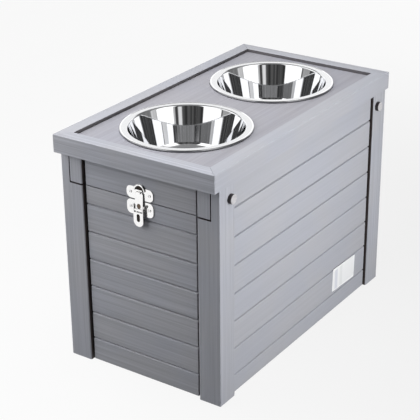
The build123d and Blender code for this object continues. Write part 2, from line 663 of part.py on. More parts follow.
def build():
    fasteners = fixed_fasteners()
    bolts = [knob_bolt(end, side) for end in ENDS for side in SIDES]
    cutters = [s for screws in fasteners.values() for s in screws] + bolts
    nodes = {}
    for end in ENDS:
        for side in SIDES:
            where = END_NAME[end] + "_" + SIDE_NAME[side]
            nodes["post_" + where] = drilled(corner_post(end, side), cutters)
            nodes["lid_block_" + where] = drilled(lid_block(end, side), cutters)
            nodes["post_knob_" + where] = post_knob(end, side)
        nodes[END_NAME[end] + "_panel"] = drilled(end_panel(end), cutters)
        nodes["floor_cleat_" + END_NAME[end]] = drilled(end_cleat(end), cutters)
        nodes["apron_" + END_NAME[end]] = drilled(apron(end), cutters)
        nodes["rim_" + END_NAME[end]] = rim_board(False, end)
        nodes["bowl_" + END_NAME[end]] = bowl(end)
    for side in SIDES:
        name = SIDE_NAME[side]
        nodes["side_panel_" + name] = drilled(side_panel(side), cutters)
        nodes["floor_cleat_" + name] = drilled(side_cleat(side), cutters)
        nodes["rim_" + name] = rim_board(True, side)
        nodes["hinge_lower_leaf_" + name] = hinge_leaf(side, -1)
        nodes["hinge_upper_leaf_" + name] = hinge_leaf(side, 1)
        nodes["hinge_pin_" + name] = hinge_pin(side)
    nodes["floor_panel"] = floor_panel()
    nodes["lid_panel"] = lid_panel()
    nodes["knob_bolts"] = group(bolts)
    nodes["knob_nuts"] = group([knob_nut(end, side) for end in ENDS for side in SIDES])
    nodes["blank_label"] = blank_label()
    nodes["keeper_plate"] = at_latch(keeper_plate())
    nodes["latch_base"] = at_latch(latch_base())
    nodes["latch_pivot_rivets"] = group([at_latch(lever_pivot_rivet(side)) for side in SIDES])
    nodes["latch_lever"] = at_latch(latch_lever())
    nodes["latch_link_pin"] = at_latch(latch_link_pin())
    nodes["latch_link"] = at_latch(latch_link())
    for name, screws in fasteners.items():
        nodes[name] = group(screws)
    return nodes


os.makedirs("parts", exist_ok=True)
for node, shape in build().items():
    export_step(shape, "parts/" + node + ".step")
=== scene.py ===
import math

import bmesh
import bpy
from bpy.props import FloatProperty, FloatVectorProperty, IntProperty, PointerProperty
from mathutils import Matrix, Vector


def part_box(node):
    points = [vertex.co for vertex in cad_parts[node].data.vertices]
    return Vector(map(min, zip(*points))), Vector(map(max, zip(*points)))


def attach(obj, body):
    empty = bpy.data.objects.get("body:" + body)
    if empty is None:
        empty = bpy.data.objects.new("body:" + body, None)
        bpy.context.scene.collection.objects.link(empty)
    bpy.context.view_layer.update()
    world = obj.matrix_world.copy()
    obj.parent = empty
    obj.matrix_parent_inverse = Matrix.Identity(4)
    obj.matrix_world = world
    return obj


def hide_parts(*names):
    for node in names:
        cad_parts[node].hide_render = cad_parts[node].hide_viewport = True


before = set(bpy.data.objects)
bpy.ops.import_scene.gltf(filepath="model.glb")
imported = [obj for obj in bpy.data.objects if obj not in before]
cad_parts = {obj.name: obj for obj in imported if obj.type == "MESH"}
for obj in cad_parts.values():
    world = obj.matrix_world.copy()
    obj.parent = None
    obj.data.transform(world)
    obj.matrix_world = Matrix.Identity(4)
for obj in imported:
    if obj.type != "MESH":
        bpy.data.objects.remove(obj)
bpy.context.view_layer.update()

# Looks of an elevated feeder for dogs: grey composite boards, two polished steel bowls, a nickel toggle
# latch and hinges, on a pale studio floor. Metres, +Z up; the latch end is -X (front), the hinge end +X
# (rear), left is +Y and right is -Y.

bl_info = {
    "name": "Elevated Feeder",
    "version": (1, 0, 0),
    "blender": (4, 5, 0),
    "location": "3D View > Sidebar > Feeder",
    "description": "Boards, bowls, latch and studio for an elevated feeder with storage",
    "category": "Add Mesh",
}

X, Y, Z = 0, 1, 2
FRONT, REAR, LEFT, RIGHT = -1, 1, 1, -1
ENDS = {"front": FRONT, "rear": REAR}
SIDES = {"left": LEFT, "right": RIGHT}
TOUCH = 2e-5                   # two coordinates nearer than this are the same
SMOOTH = math.radians(32)      # faces that meet at less than this are shaded as one


# ---- sizes and colours --------------------------------------------------------------------------
def length(name, description, default):
    return FloatProperty(name=name, description=description, default=default, unit="LENGTH",
                         subtype="DISTANCE", precision=5, min=0.0)


def colour(name, description, default):
    return FloatVectorProperty(name=name, description=description, default=default, subtype="COLOR",
                               size=3, min=0.0, max=1.0)


def share(name, description, default, top=1.0):
    return FloatProperty(name=name, description=description, default=default, min=0.0, max=top)


class BoardSettings(bpy.types.PropertyGroup):
    """Sizes and colours of the composite boards."""
    post_thick: length("Post thickness", "Thickness of a post's legs", 0.015)
    plank_thick: length("Plank thickness", "Thickness of the grooved planks", 0.011)
    slit: length("Slit", "Gap between the planks and the posts", 0.0036)
    arris: length("Arris", "Rounding of every sawn edge", 0.0004)
    corner_round: length("Corner rounding", "Rounding of a post's outer corner", 0.0008)
    leg_round: length("Leg rounding", "Rounding of the legs' edges beside the planks", 0.0025)
    plank_end_round: length("Plank end rounding", "Rounding of the planks' ends beside the slits", 0.0015)
    groove_pitch: length("Groove pitch", "Height of one plank", 0.0484)
    groove_half: length("Groove half width", "Half the width of a V-groove", 0.002)
    groove_depth: length("Groove depth", "Depth of a V-groove", 0.0036)
    end_top_groove: length("End groove height", "Height of the uppermost groove of the ends", 0.2843)
    side_top_groove: length("Side groove height", "Height of the uppermost groove of the sides", 0.3236)
    end_grooves: IntProperty(name="End grooves", description="Grooves in each end", default=6, min=1)
    side_grooves: IntProperty(name="Side grooves", description="Grooves in each side", default=7, min=1)
    rim_width: length("Rim width", "Width of the rim boards", 0.023)
    tongue: length("Tongue", "Thickness of the lid panel's tongue", 0.005)
    rim_round: length("Rim rounding", "Rounding of the rim's outer edges", 0.0008)
    panel_gap: length("Panel gap", "Shadow gap between the rim and the lid panel", 0.001)
    apron_chamfer: length("Apron chamfer", "Chamfer of the apron's lower edge", 0.0022)
    grey: colour("Board grey", "Colour of the boards", (0.385, 0.396, 0.428))
    lid_grey: colour("Lid grey", "Colour of the lid panel", (0.330, 0.331, 0.362))


class BowlSettings(bpy.types.PropertyGroup):
    """Section and finish of a pressed steel bowl."""
    rim: length("Rim radius", "Radius over the rolled edge", 0.1058)
    wall_low: length("Wall radius below", "Radius where the wall would meet the floor", 0.0746)
    wall_top: length("Wall radius above", "Radius where the wall would meet the flange", 0.093)
    depth: length("Depth", "Flange down to the floor", 0.066)
    corner: length("Corner radius", "Rounding between floor and wall", 0.011)
    lip: length("Lip radius", "Rounding between wall and flange", 0.0033)
    sheet: length("Sheet", "Thickness of the steel", 0.001)
    bead: length("Bead radius", "Radius of the rolled edge", 0.00175)
    bead_proud: length("Bead proud", "Rolled edge above the flange", 0.00045)
    hole: length("Hole radius", "Radius of the hole in the lid panel", 0.096)
    hole_edge: length("Hole edge", "Rounding of the hole's edge", 0.001)
    steel: colour("Steel", "Colour of the steel", (0.87, 0.875, 0.89))


class HardwareSettings(bpy.types.PropertyGroup):
    """Screws, knobs, latch and hinges."""
    sheet_edge: length("Sheet edge", "Rounding of pressed sheet edges", 0.00025)
    wood_head: length("Wood screw head", "Height of a wood screw's head", 0.0014)
    wood_shank: length("Wood screw shank", "Radius of a wood screw's shank", 0.00175)
    hinge_head: length("Hinge screw head", "Height of a hinge screw's head", 0.0012)
    latch_head: length("Latch screw head", "Height of a latch screw's head", 0.001)
    small_shank: length("Small shank", "Radius of the hinge and latch screws' shanks", 0.0014)
    knob_round: length("Knob rounding", "Rounding of the knob's edge", 0.0014)
    knob_cap: length("Knob cap", "Width of the flat ring round the knob's dished face", 0.0012)
    knob_dish: length("Knob dish", "Hollow of the knob's face", 0.0005)
    sticker_wide: length("Sticker width", "Width of the sticker", 0.079)
    sticker_high: length("Sticker height", "Height of the sticker", 0.043)
    sticker_corner: length("Sticker corner", "Rounding of the sticker's corners", 0.0015)
    sticker_tilt: FloatProperty(name="Sticker tilt", description="Turn of the sticker on the planks",
                                subtype="ANGLE", default=math.radians(2.5))
    hollow_height: length("Hollow height", "Middle of the link's hollow above its lower end", 0.0088)
    hollow_wide: length("Hollow width", "Width of the link's hollow", 0.0074)
    hollow_high: length("Hollow length", "Length of the link's hollow", 0.0088)
    hollow_deep: length("Hollow depth", "Depth of the link's hollow", 0.0007)
    # Painted shade: the dark pad and the buffer are thin near black sheets put where the keeper's arch and
    # the lever's slot are in shade.
    shade_disc_radius: length("Pad radius", "Radius of the dark pad inside the keeper's arch", 0.0073)
    shade_sheet_thick: length("Pad thickness", "Thickness of the dark pads", 0.0005)
    shade_sheet_gap: length("Pad gap", "Gap between the lever's sheet and the buffer behind its slot", 0.0001)
    arch_height: length("Arch height", "Middle of the arch above the keeper's lower edge", 0.0152)
    lever_sheet: length("Lever sheet", "Thickness of the lever's front", 0.0013)
    slot_shade_wide: length("Buffer width", "Width of the buffer behind the lever's slot", 0.0076)
    slot_shade_low: length("Buffer lower end", "Lower end of the buffer above the lever's tip", 0.0072)
    slot_shade_top: length("Buffer upper end", "Upper end of the buffer above the lever's tip", 0.0218)
    nickel: colour("Nickel", "Colour of the plating", (0.99, 0.985, 0.98))
    # Painted shade: the dark brown inside the link's pressed hollow.
    tarnish: colour("Tarnish", "Colour inside the pressed hollow", (0.16, 0.11, 0.075))
    # Painted shade: colour of the near black sheets in the arch and behind the lever's slot.
    shade_sheet_tone: colour("Pads", "Colour of the pads in the latch", (0.020, 0.013, 0.010))
    zinc: colour("Zinc", "Colour of the plain screws", (0.62, 0.62, 0.64))
    knob_dark: colour("Knob", "Colour of the knob's side", (0.016, 0.011, 0.012))
    knob_face: colour("Knob face", "Colour of the knob's face", (0.47, 0.46, 0.475))
    paper: colour("Sticker", "Colour of the blank sticker", (0.90, 0.91, 0.92))


class StudioSettings(bpy.types.PropertyGroup):
    """Floor, light and camera."""
    floor: colour("Floor", "Colour of the floor where lamps reach it", (0.025, 0.025, 0.025))
    glow_left: share("Glow left", "Even brightness of the floor on the left of the view", 0.93)
    # glow_right is the floor's brightness inside its painted shadow, to the right of the feeder.
    glow_right: share("Glow right", "Even brightness of the floor on the right of the view", 0.84)
    bounce: colour("Floor bounce", "Colour that the floor throws back on the object", (0.07, 0.07, 0.07))
    sky: share("Sky", "Light from all round", 0.09, 10.0)
    side_power: FloatProperty(name="Side lamp", description="Low lamp on the right, in watts", default=7.4)
    top_power: FloatProperty(name="Top lamp", description="Lamp overhead, in watts", default=24.5)
    fill_power: FloatProperty(name="Fill lamp", description="Lamp at the front left, in watts", default=14.0)
    back_power: FloatProperty(name="Back lamp", description="Low lamp behind, in watts", default=59.0)
    camera_place: FloatVectorProperty(name="Camera", description="Place of the camera", subtype="TRANSLATION",
                                      unit="LENGTH", default=(-1.664448, -1.092091, 1.123753))
    camera_heading: FloatProperty(name="Heading", description="Direction of view from +X towards +Y",
                                  subtype="ANGLE", default=math.radians(34.304))
    camera_dip: FloatProperty(name="Dip", description="Direction of view below the horizon",
                              subtype="ANGLE", default=math.radians(24.853))
    camera_roll: FloatProperty(name="Roll", description="Turn about the line of view",
                               subtype="ANGLE", default=math.radians(-0.532))
    camera_lens: FloatProperty(name="Lens", description="Focal length in millimetres, on a 36 mm sensor",
                               default=110.52)


# ---- shaders ------------------------------------------------------------------------------------
class Value:
    """A shader socket with arithmetic: each operation adds a Math node."""

    def __init__(self, shader, socket):
        self.shader = shader
        self.socket = socket

    def math(self, operation, *operands):
        return self.shader.node("ShaderNodeMath", {"operation": operation}, dict(enumerate(operands)))

    def __add__(self, other):
        return self.math("ADD", self, other)

    def __sub__(self, other):
        return self.math("SUBTRACT", self, other)

    def __rsub__(self, other):
        return self.math("SUBTRACT", other, self)

    def __mul__(self, other):
        return self.math("MULTIPLY", self, other)

    def __truediv__(self, other):
        return self.math("DIVIDE", self, other)

    __radd__ = __add__
    __rmul__ = __mul__

    def __pow__(self, other):
        return self.math("POWER", self, other)

    def whole(self):
        return self.math("FLOOR", self)

    def size(self):
        return self.math("ABSOLUTE", self)

    def sign(self):
        return self.math("SIGN", self)

    def larger(self, other):
        return self.math("MAXIMUM", self, other)

    def heading(self, other):
        """Angle of the direction that runs this far along Y and the other along X."""
        return self.math("ARCTAN2", self, other)

    def ramp(self, low, high):
        """0 at low, 1 at high, smooth between."""
        limits = {"Value": self, "From Min": low, "From Max": high}
        return self.shader.node("ShaderNodeMapRange", {"interpolation_type": "SMOOTHSTEP"}, limits)

    def band(self, start, full, fading, end):
        """0 up to start, 1 from full to fading, 0 again from end."""
        return self.ramp(start, full) * (1 - self.ramp(fading, end))


class Shader:
    """A node tree that nodes are added to by one method."""

    def __init__(self, tree):
        self.tree = tree
        self.tree.nodes.clear()

    def node(self, kind, settings=None, inputs=None, output=0):
        """Adds a node: its settings first, then the values or links of its sockets."""
        made = self.tree.nodes.new(kind)
        for name, value in (settings or {}).items():
            setattr(made, name, value)
        for name, value in (inputs or {}).items():
            socket = made.inputs[name]
            if isinstance(value, Value):
                self.tree.links.new(value.socket, socket)
            elif hasattr(value, "__len__") and len(socket.default_value) == 4 and len(value) == 3:
                socket.default_value = (*value, 1.0)
            else:
                socket.default_value = value
        return Value(self, made.outputs[output]) if made.outputs else None

    def place(self):
        """Coordinates of the surface in the feeder's own frame, at every pose."""
        return self.node("ShaderNodeTexCoord", output="Object")

    def facing(self):
        """Direction that the surface faces in the feeder's own frame, at every pose."""
        return self.node("ShaderNodeTexCoord", output="Normal")

    def axis(self, vector, which):
        return self.node("ShaderNodeSeparateXYZ", None, {0: vector}, output=which)

    def stretched(self, vector, scale, shift=None):
        """Coordinates for a pattern: how fine it is, on every axis or on each, and a vector that moves it."""
        scale = scale if hasattr(scale, "__len__") else (scale,) * 3
        scaled = self.node("ShaderNodeVectorMath", {"operation": "MULTIPLY"}, {0: vector, 1: scale})
        if shift is None:
            return scaled
        return self.node("ShaderNodeVectorMath", {"operation": "ADD"}, {0: scaled, 1: shift})

    def noise(self, vector, detail=2.0, roughness=0.5):
        inputs = {"Vector": vector, "Scale": 1.0, "Detail": detail, "Roughness": roughness}
        return self.node("ShaderNodeTexNoise", {"noise_dimensions": "3D"}, inputs)

    def lines(self, value):
        """A pattern that changes with one value only."""
        inputs = {"W": value, "Scale": 1.0}
        return self.node("ShaderNodeTexNoise", {"noise_dimensions": "1D"}, inputs)

    def mix(self, share_of_second, first, second):
        """A colour between two colours."""
        made = self.tree.nodes.new("ShaderNodeMix")
        made.data_type = "RGBA"
        colours = [socket for socket in made.inputs if socket.type == "RGBA"]
        factor = [socket for socket in made.inputs if socket.type == "VALUE"][0]
        for socket, value in zip((factor, *colours), (share_of_second, first, second)):
            if isinstance(value, Value):
                self.tree.links.new(value.socket, socket)
            else:
                socket.default_value = value if socket == factor else (*value, 1.0)
        return Value(self, [socket for socket in made.outputs if socket.type == "RGBA"][0])

    def bump(self, height, strength, distance):
        inputs = {"Height": height, "Strength": strength, "Distance": distance}
        return self.node("ShaderNodeBump", None, inputs)

    def surface(self, **inputs):
        """The principled surface and the output."""
        named = {name.replace("_", " "): value for name, value in inputs.items()}
        shader = self.node("ShaderNodeBsdfPrincipled", None, named)
        self.node("ShaderNodeOutputMaterial", None, {"Surface": shader})


def new_shader(name):
    material = bpy.data.materials.new(name)
    material.use_nodes = True
    return material, Shader(material.node_tree)


def times(tone, factor):
    return tuple(min(1.0, channel * factor) for channel in tone)


SHADE_TONE = (0.036, 0.028, 0.027)     # painted shade for faces in slits, gaps and groove flanks
SQUARE_ON = (0.80, 0.95)         # how squarely a face looks its way before it takes the painted shade
FIBRES = (1100.0, 10.0)          # streaks in a metre, across and along the grain
BANDS = (230.0, 3.0)
SPECKS = 2600.0                  # spots in a metre
CLOUDS = 9.0
PLANK_SHIFT = 7.0                # how far the pattern moves from plank to plank


def shaded_faces(s, here, looks):
    """1 on the faces that take painted shade: those that look one of these ways: inward (back to the middle
    of the feeder), up or across.
    """
    normal = s.facing()
    x, y = (s.axis(here, axis).sign() * s.axis(normal, axis) * -1.0 for axis in (X, Y))
    ways = {"inward": x.larger(y), "up": s.axis(normal, Z), "across": s.axis(normal, Y).size()}
    found = ways[looks[0]].ramp(*SQUARE_ON)
    for look in looks[1:]:
        found = found.larger(ways[look].ramp(*SQUARE_ON))
    return found


def with_grain(streaks, grain):
    """How fine a pattern is on each axis, from how fine it is across and along the grain."""
    across, lengthwise = streaks
    return [lengthwise if axis == grain else across for axis in (X, Y, Z)]


def board_material(name, tone, grain, contrast, planks=None, sawn=(), shade_share=1.0):
    """Matt composite with fine streaks along the grain axis. planks = (axis, top, pitch) sets each plank
    apart. The faces that look the listed ways get a near black painted shade, standing in for the shade in
    slits, gaps and groove flanks."""
    material, s = new_shader(name)
    here = s.place()
    shift = None
    if planks:
        axis, top, pitch = planks
        number = ((s.axis(here, axis) - top) / pitch).whole()
        shift = s.node("ShaderNodeTexWhiteNoise", {"noise_dimensions": "1D"}, {"W": number}, output="Color")
        shift = s.stretched(shift, PLANK_SHIFT)
    fibres = s.noise(s.stretched(here, with_grain(FIBRES, grain), shift), detail=2.0)
    bands = s.noise(s.stretched(here, with_grain(BANDS, grain), shift), detail=3.0, roughness=0.6)
    specks = s.noise(s.stretched(here, SPECKS), detail=1.0)
    cloud = s.noise(s.stretched(here, CLOUDS, shift), detail=2.0)
    streak = bands * 0.55 + fibres * 0.30 + specks * 0.15
    depth = streak.ramp(0.30, 0.70)
    worn = s.mix(depth, times(tone, 1 - contrast), times(tone, 1 + contrast))
    tint = s.mix(cloud.ramp(0.35, 0.65), (0.97, 0.97, 1.0), (1.0, 0.985, 0.985))
    base = s.node("ShaderNodeVectorMath", {"operation": "MULTIPLY"}, {0: worn, 1: tint})
    # Painted shade: faces that look the listed ways take a near black colour, standing in for the shade in
    # the slits beside the posts, in the gaps by the blocks and rims, and on the grooves' lower flanks.
    if sawn:
        painted_shade = s.mix(depth, SHADE_TONE, times(SHADE_TONE, 1.3))
        base = s.mix(shaded_faces(s, here, sawn) * shade_share, base, painted_shade)
    rough = 0.50 + fibres * 0.16
    normal = s.bump(fibres * 0.6 + specks * 0.4, 0.35, 0.00012)
    s.surface(Base_Color=base, Roughness=rough, Normal=normal, Specular_IOR_Level=0.35)
    return material


SMEARS = 60.0                    # patches in a metre
RINGS = 1800.0                   # polishing rings in a metre of a bowl's radius
ROLLED_SHADE = (0.0022, 0.0034)   # where the painted shade round the rolled edge begins and is full, for the contact shadow and dark reflection under the bead


def metal_material(name, tone, gloss, scratch, grime=0.04, satin=None, shaded_aside=False):
    """Bright metal with faint scratches. satin = (bowls' distance from the middle, inner and outer radius,
    roughness) dulls a flange and paints a shade round its rolled edge. The last flag paints near black shade
    on the faces that look along Y, standing in for the shadows and dark reflections at a plate's edges."""
    material, s = new_shader(name)
    here = s.place()
    smear = s.noise(s.stretched(here, SMEARS), detail=3.0)
    scuffs = s.noise(s.stretched(here, (scratch, scratch * 0.15, scratch)), detail=1.0)
    rough = gloss + smear * grime
    height = scuffs
    base = s.mix(smear.ramp(0.3, 0.7), times(tone, 0.96), tone)
    if satin:
        distance, inner, outer, dullness = satin
        x, y = s.axis(here, X).size() - distance, s.axis(here, Y)
        radius = (x * x + y * y) ** 0.5
        flange = radius.band(inner - 0.001, inner + 0.001, outer, outer + 0.0004)
        rolled = radius.ramp(*(outer + step for step in ROLLED_SHADE))
        rough = rough + flange * dullness
        height = s.lines(radius * RINGS) * 0.7 + scuffs * 0.3
        base = s.mix(flange, base, times(tone, 0.80))
        # Painted shade: the outer part of the rolled edge is darkened, standing in for its contact shadow and
        # dark reflection.
        base = s.mix(rolled * 0.75, base, times(tone, 0.2))
    if shaded_aside:
        # Painted shade: faces that look along Y turn near black, for the shadows and dark reflections beside
        # the plates' edges.
        aside = s.axis(s.facing(), Y).size()
        base = s.mix(aside.ramp(0.45, 0.75), base, times(tone, 0.06))
    s.surface(Base_Color=base, Metallic=1.0, Roughness=rough, Normal=s.bump(height, 0.06, 0.00002))
    return material


PLASTIC_GRAIN = 1500.0           # grains in a metre


def plastic_material(name, tone, gloss):
    """Moulded plastic with a fine grained skin."""
    material, s = new_shader(name)
    here = s.place()
    skin = s.noise(s.stretched(here, PLASTIC_GRAIN), detail=2.0)
    base = s.mix(skin.ramp(0.35, 0.65), times(tone, 0.85), times(tone, 1.15))
    s.surface(Base_Color=base, Roughness=gloss + skin * 0.1, Normal=s.bump(skin, 0.2, 0.00005))
    return material


STICKER_BORDER = 0.0035
PAPER_FIBRES = 1100.0            # fibres in a metre
# soft bars: where each begins, is full, fades and ends, in shares of the width; its strength; its colour
STICKER_BARS = (((0.10, 0.12, 0.22, 0.24), 0.55, (0.50, 0.52, 0.62)),
                ((0.30, 0.34, 0.42, 0.46), 0.35, (0.60, 0.62, 0.62)))


def paper_material(name, tone, low, high):
    """Blank sticker: a slightly darker field inside a white border, with two soft tinted bars."""
    material, s = new_shader(name)
    here = s.place()
    x, z = s.axis(here, X), s.axis(here, Z)
    edge, field_edge = STICKER_BORDER, STICKER_BORDER * 1.6
    inside = x.band(low.x + edge, low.x + field_edge, high.x - field_edge, high.x - edge) \
        * z.band(low.z + edge, low.z + field_edge, high.z - field_edge, high.z - edge)
    fibres = s.noise(s.stretched(here, PAPER_FIBRES), detail=3.0)
    field = s.mix(inside * 0.5, tone, times(tone, 0.86))
    for shares, strength, ink in STICKER_BARS:
        bar = x.band(*(low.x + share_of_width * (high.x - low.x) for share_of_width in shares))
        field = s.mix(inside * bar * strength, field, ink)
    field = s.mix(fibres * 0.12, field, (0.80, 0.80, 0.80))
    s.surface(Base_Color=field, Roughness=0.45 + fibres * 0.15, Normal=s.bump(fibres, 0.1, 0.00003))
    return material


materials = {}


def finish_of(name):
    """The finish with this name, made the first time it is asked for."""
    scene = bpy.context.scene
    boards, bowls, hardware = scene.feeder_boards, scene.feeder_bowls, scene.feeder_hardware
    bowl_low, bowl_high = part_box("bowl_rear")
    flange = ((bowl_low.x + bowl_high.x) / 2, bowls.wall_top, bowls.rim - 2 * bowls.bead, 0.10)
    end_pitch = (Z, boards.end_top_groove, boards.groove_pitch)
    side_pitch = (Z, boards.side_top_groove, boards.groove_pitch)
    makers = {
        "grain_x": lambda: board_material("composite_grain_x", boards.grey, X, 0.07),
        "grain_y": lambda: board_material("composite_grain_y", boards.grey, Y, 0.20),
        # The rims, posts, blocks and planks take painted shade on the faces that look the ways named in each
        # entry.
        "rim_x": lambda: board_material("composite_rim_x", boards.grey, X, 0.06, None, ("inward",), 0.8),
        "rim_y": lambda: board_material("composite_rim_y", boards.grey, Y, 0.24, None, ("inward",), 0.8),
        "posts": lambda: board_material("composite_posts", boards.grey, Z, 0.14, sawn=("inward", "up")),
        "blocks": lambda: board_material("composite_blocks", boards.grey, Z, 0.14, sawn=("across", "up")),
        "end_planks": lambda: board_material("composite_end_planks", boards.grey, Y, 0.19, end_pitch,
                                             ("up",), 0.25),
        "side_planks": lambda: board_material("composite_side_planks", boards.grey, X, 0.05, side_pitch,
                                              ("up",), 0.25),
        "lid": lambda: board_material("composite_lid", boards.lid_grey, X, 0.10),
        "bowl_steel": lambda: metal_material("bowl_polish", bowls.steel, 0.02, 500.0, 0.03, flange),
        "sticker": lambda: paper_material("blank_paper", hardware.paper, *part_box("blank_label")),
        "nickel": lambda: metal_material("nickel_plate", hardware.nickel, 0.10, 900.0, 0.08, shaded_aside=True),
        # Painted shade: the dark brown of the link's hollow.
        "tarnish": lambda: plastic_material("tarnished_hollow", hardware.tarnish, 0.45),
        # Painted shade: the near black of the sheets in the latch.
        "pad": lambda: plastic_material("dark_pad", hardware.shade_sheet_tone, 0.75),
        "zinc": lambda: metal_material("zinc_plate", hardware.zinc, 0.30, 1400.0, 0.15),
        "knob": lambda: plastic_material("knob_plastic", hardware.knob_dark, 0.30),
        "knob_face": lambda: plastic_material("knob_face", hardware.knob_face, 0.45),
    }
    if name not in materials:
        materials[name] = makers[name]()
    return materials[name]


# ---- modelling ----------------------------------------------------------------------------------
def near(a, b):
    return abs(a - b) < TOUCH


def at(item, x=None, y=None, z=None):
    """Whether a vertex, or every corner of an edge or face, lies at these coordinates."""
    corners = [item] if isinstance(item, bmesh.types.BMVert) else item.verts
    wanted = [(axis, value) for axis, value in enumerate((x, y, z)) if value is not None]
    return all(near(corner.co[axis], value) for corner in corners for axis, value in wanted)


def along(edge, axis):
    """Whether an edge runs along an axis."""
    step = edge.verts[1].co - edge.verts[0].co
    return abs(step[axis]) > 0.999 * step.length


def object_mode():
    if bpy.context.mode != "OBJECT":
        bpy.ops.object.mode_set(mode="OBJECT")


def deselect_all():
    object_mode()
    bpy.ops.object.select_all(action="DESELECT")


class Piece:
    """A piece on the bench: a new object in edit mode, shaped with mesh operators."""

    def __init__(self, name, primitive, **options):
        deselect_all()
        primitive(**options)
        self.object = bpy.context.active_object
        self.object.name = name
        self.object.data.name = name
        bpy.ops.object.transform_apply(location=True, rotation=True, scale=True)
        self.edit()

    @classmethod
    def of(cls, thing):
        """An object that exists already, put on the bench."""
        piece = cls.__new__(cls)
        piece.object = thing
        piece.edit()
        return piece

    def edit(self):
        deselect_all()
        self.object.select_set(True)
        bpy.context.view_layer.objects.active = self.object
        bpy.ops.object.mode_set(mode="EDIT")

    def choose(self, kind, test):
        """Selects the verts, edges or faces that pass the test."""
        bpy.ops.mesh.select_mode(type={"verts": "VERT", "edges": "EDGE", "faces": "FACE"}[kind])
        bpy.ops.mesh.select_all(action="DESELECT")
        mesh = bmesh.from_edit_mesh(self.object.data)
        chosen = [item for item in getattr(mesh, kind) if test(item)]
        if not chosen:
            raise RuntimeError(self.object.name + ": nothing was chosen")
        for item in chosen:
            item.select_set(True)
        mesh.select_flush_mode()
        bmesh.update_edit_mesh(self.object.data)

    def bevel(self, width, segments=3):
        bpy.ops.mesh.bevel(offset=width, segments=segments, affect="EDGES", clamp_overlap=True)

    def ease(self, width, segments=2, angle=60.0):
        """Rounds every edge that is still sharp."""
        sharp = math.radians(angle)
        self.choose("edges", lambda e: len(e.link_faces) == 2 and e.calc_face_angle() > sharp)
        self.bevel(width, segments)

    def move(self, step):
        bpy.ops.transform.translate(value=step)

    def extrude(self, step):
        bpy.ops.mesh.extrude_region_move(TRANSFORM_OT_translate={"value": step})

    def inset(self, width):
        bpy.ops.mesh.inset(thickness=width)

    def cut(self, axis, place):
        """Cuts the whole piece across an axis, keeping both sides."""
        normal = [0.0, 0.0, 0.0]
        point = [0.0, 0.0, 0.0]
        normal[axis], point[axis] = 1.0, place
        bpy.ops.mesh.select_all(action="SELECT")
        bpy.ops.mesh.bisect(plane_co=point, plane_no=normal, threshold=1e-6)

    def cut_out(self, cutter):
        """Takes another piece away from this one and throws it out."""
        object_mode()
        deselect_all()
        bpy.context.view_layer.objects.active = self.object
        modifier = self.object.modifiers.new("cut", "BOOLEAN")
        modifier.operation = "DIFFERENCE"
        modifier.solver = "EXACT"
        modifier.object = cutter.object
        bpy.ops.object.modifier_apply(modifier=modifier.name)
        remove(cutter.object)

    def finish(self, finish, body, slot, *nodes, even=True):
        """Shades the piece, gives it its finish and hands it to its body."""
        object_mode()
        return hand_over(self.object, finish, body, slot, *nodes, even=even)


def hand_over(thing, finish, body, slot, *nodes, even=True):
    """Shades an object, even where wide faces meet rounded edges, and hands it to its body."""
    deselect_all()
    thing.select_set(True)
    bpy.context.view_layer.objects.active = thing
    if finish:
        dress(thing, finish)
    bpy.ops.object.shade_smooth_by_angle(angle=SMOOTH)
    if even:
        modifier = thing.modifiers.new("even", "WEIGHTED_NORMAL")
        modifier.keep_sharp = True
        bpy.ops.object.modifier_apply(modifier=modifier.name)
    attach(thing, body)
    if nodes:
        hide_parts(*nodes)
    return thing


def dress(thing, *finishes):
    """Gives an object its finishes, in the order of its material slots."""
    thing.data.materials.clear()
    for finish in finishes:
        thing.data.materials.append(finish_of(finish) if isinstance(finish, str) else finish)


def block_piece(name, low, high):
    """A sawn board between two corners, still in edit mode."""
    low, high = Vector(map(min, low, high)), Vector(map(max, low, high))
    return Piece(name, bpy.ops.mesh.primitive_cube_add, size=1, location=(low + high) / 2, scale=high - low)


def plain_board(name, low, high, finish, body, slot, *nodes):
    """A board with only its sawn edges eased."""
    piece = block_piece(name, low, high)
    piece.ease(bpy.context.scene.feeder_boards.arris)
    return piece.finish(finish, body, slot, *nodes)


# ---- box ----------------------------------------------------------------------------------------
def corner_post(end_name, side_name):
    """L-section post: the end leg stops at the lid's joint, the side leg runs up to the rim."""
    boards = bpy.context.scene.feeder_boards
    node = "post_" + end_name + "_" + side_name
    end, side = ENDS[end_name], SIDES[side_name]
    low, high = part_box(node)
    face, leg_end = (low.x, high.x) if end == FRONT else (high.x, low.x)
    outer, leg_edge = (high.y, low.y) if side == LEFT else (low.y, high.y)
    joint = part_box(end_name + "_panel")[1].z
    inner_y = outer - side * boards.post_thick
    inner_x = face - end * boards.post_thick
    piece = block_piece(end_name + "_" + side_name + "_post",
                        (face, outer, low.z), (leg_end, inner_y, high.z))
    piece.cut(Z, joint)
    piece.cut(X, inner_x)
    reach = sorted((face, inner_x))
    piece.choose("faces", lambda f: at(f, y=inner_y) and f.calc_center_median().z < joint
                 and reach[0] < f.calc_center_median().x < reach[1])
    piece.extrude((0, leg_edge - inner_y, 0))
    piece.choose("edges", lambda e: along(e, Z) and at(e, x=face, y=outer))
    piece.bevel(boards.corner_round, 4)
    piece.choose("edges", lambda e: along(e, Z) and at(e, x=leg_end, y=outer))
    piece.bevel(boards.leg_round, 5)
    piece.choose("edges", lambda e: along(e, Z) and at(e, x=face, y=leg_edge))
    piece.bevel(boards.leg_round, 5)
    piece.ease(boards.arris)
    piece.finish("posts", "box", "grey_board", node)


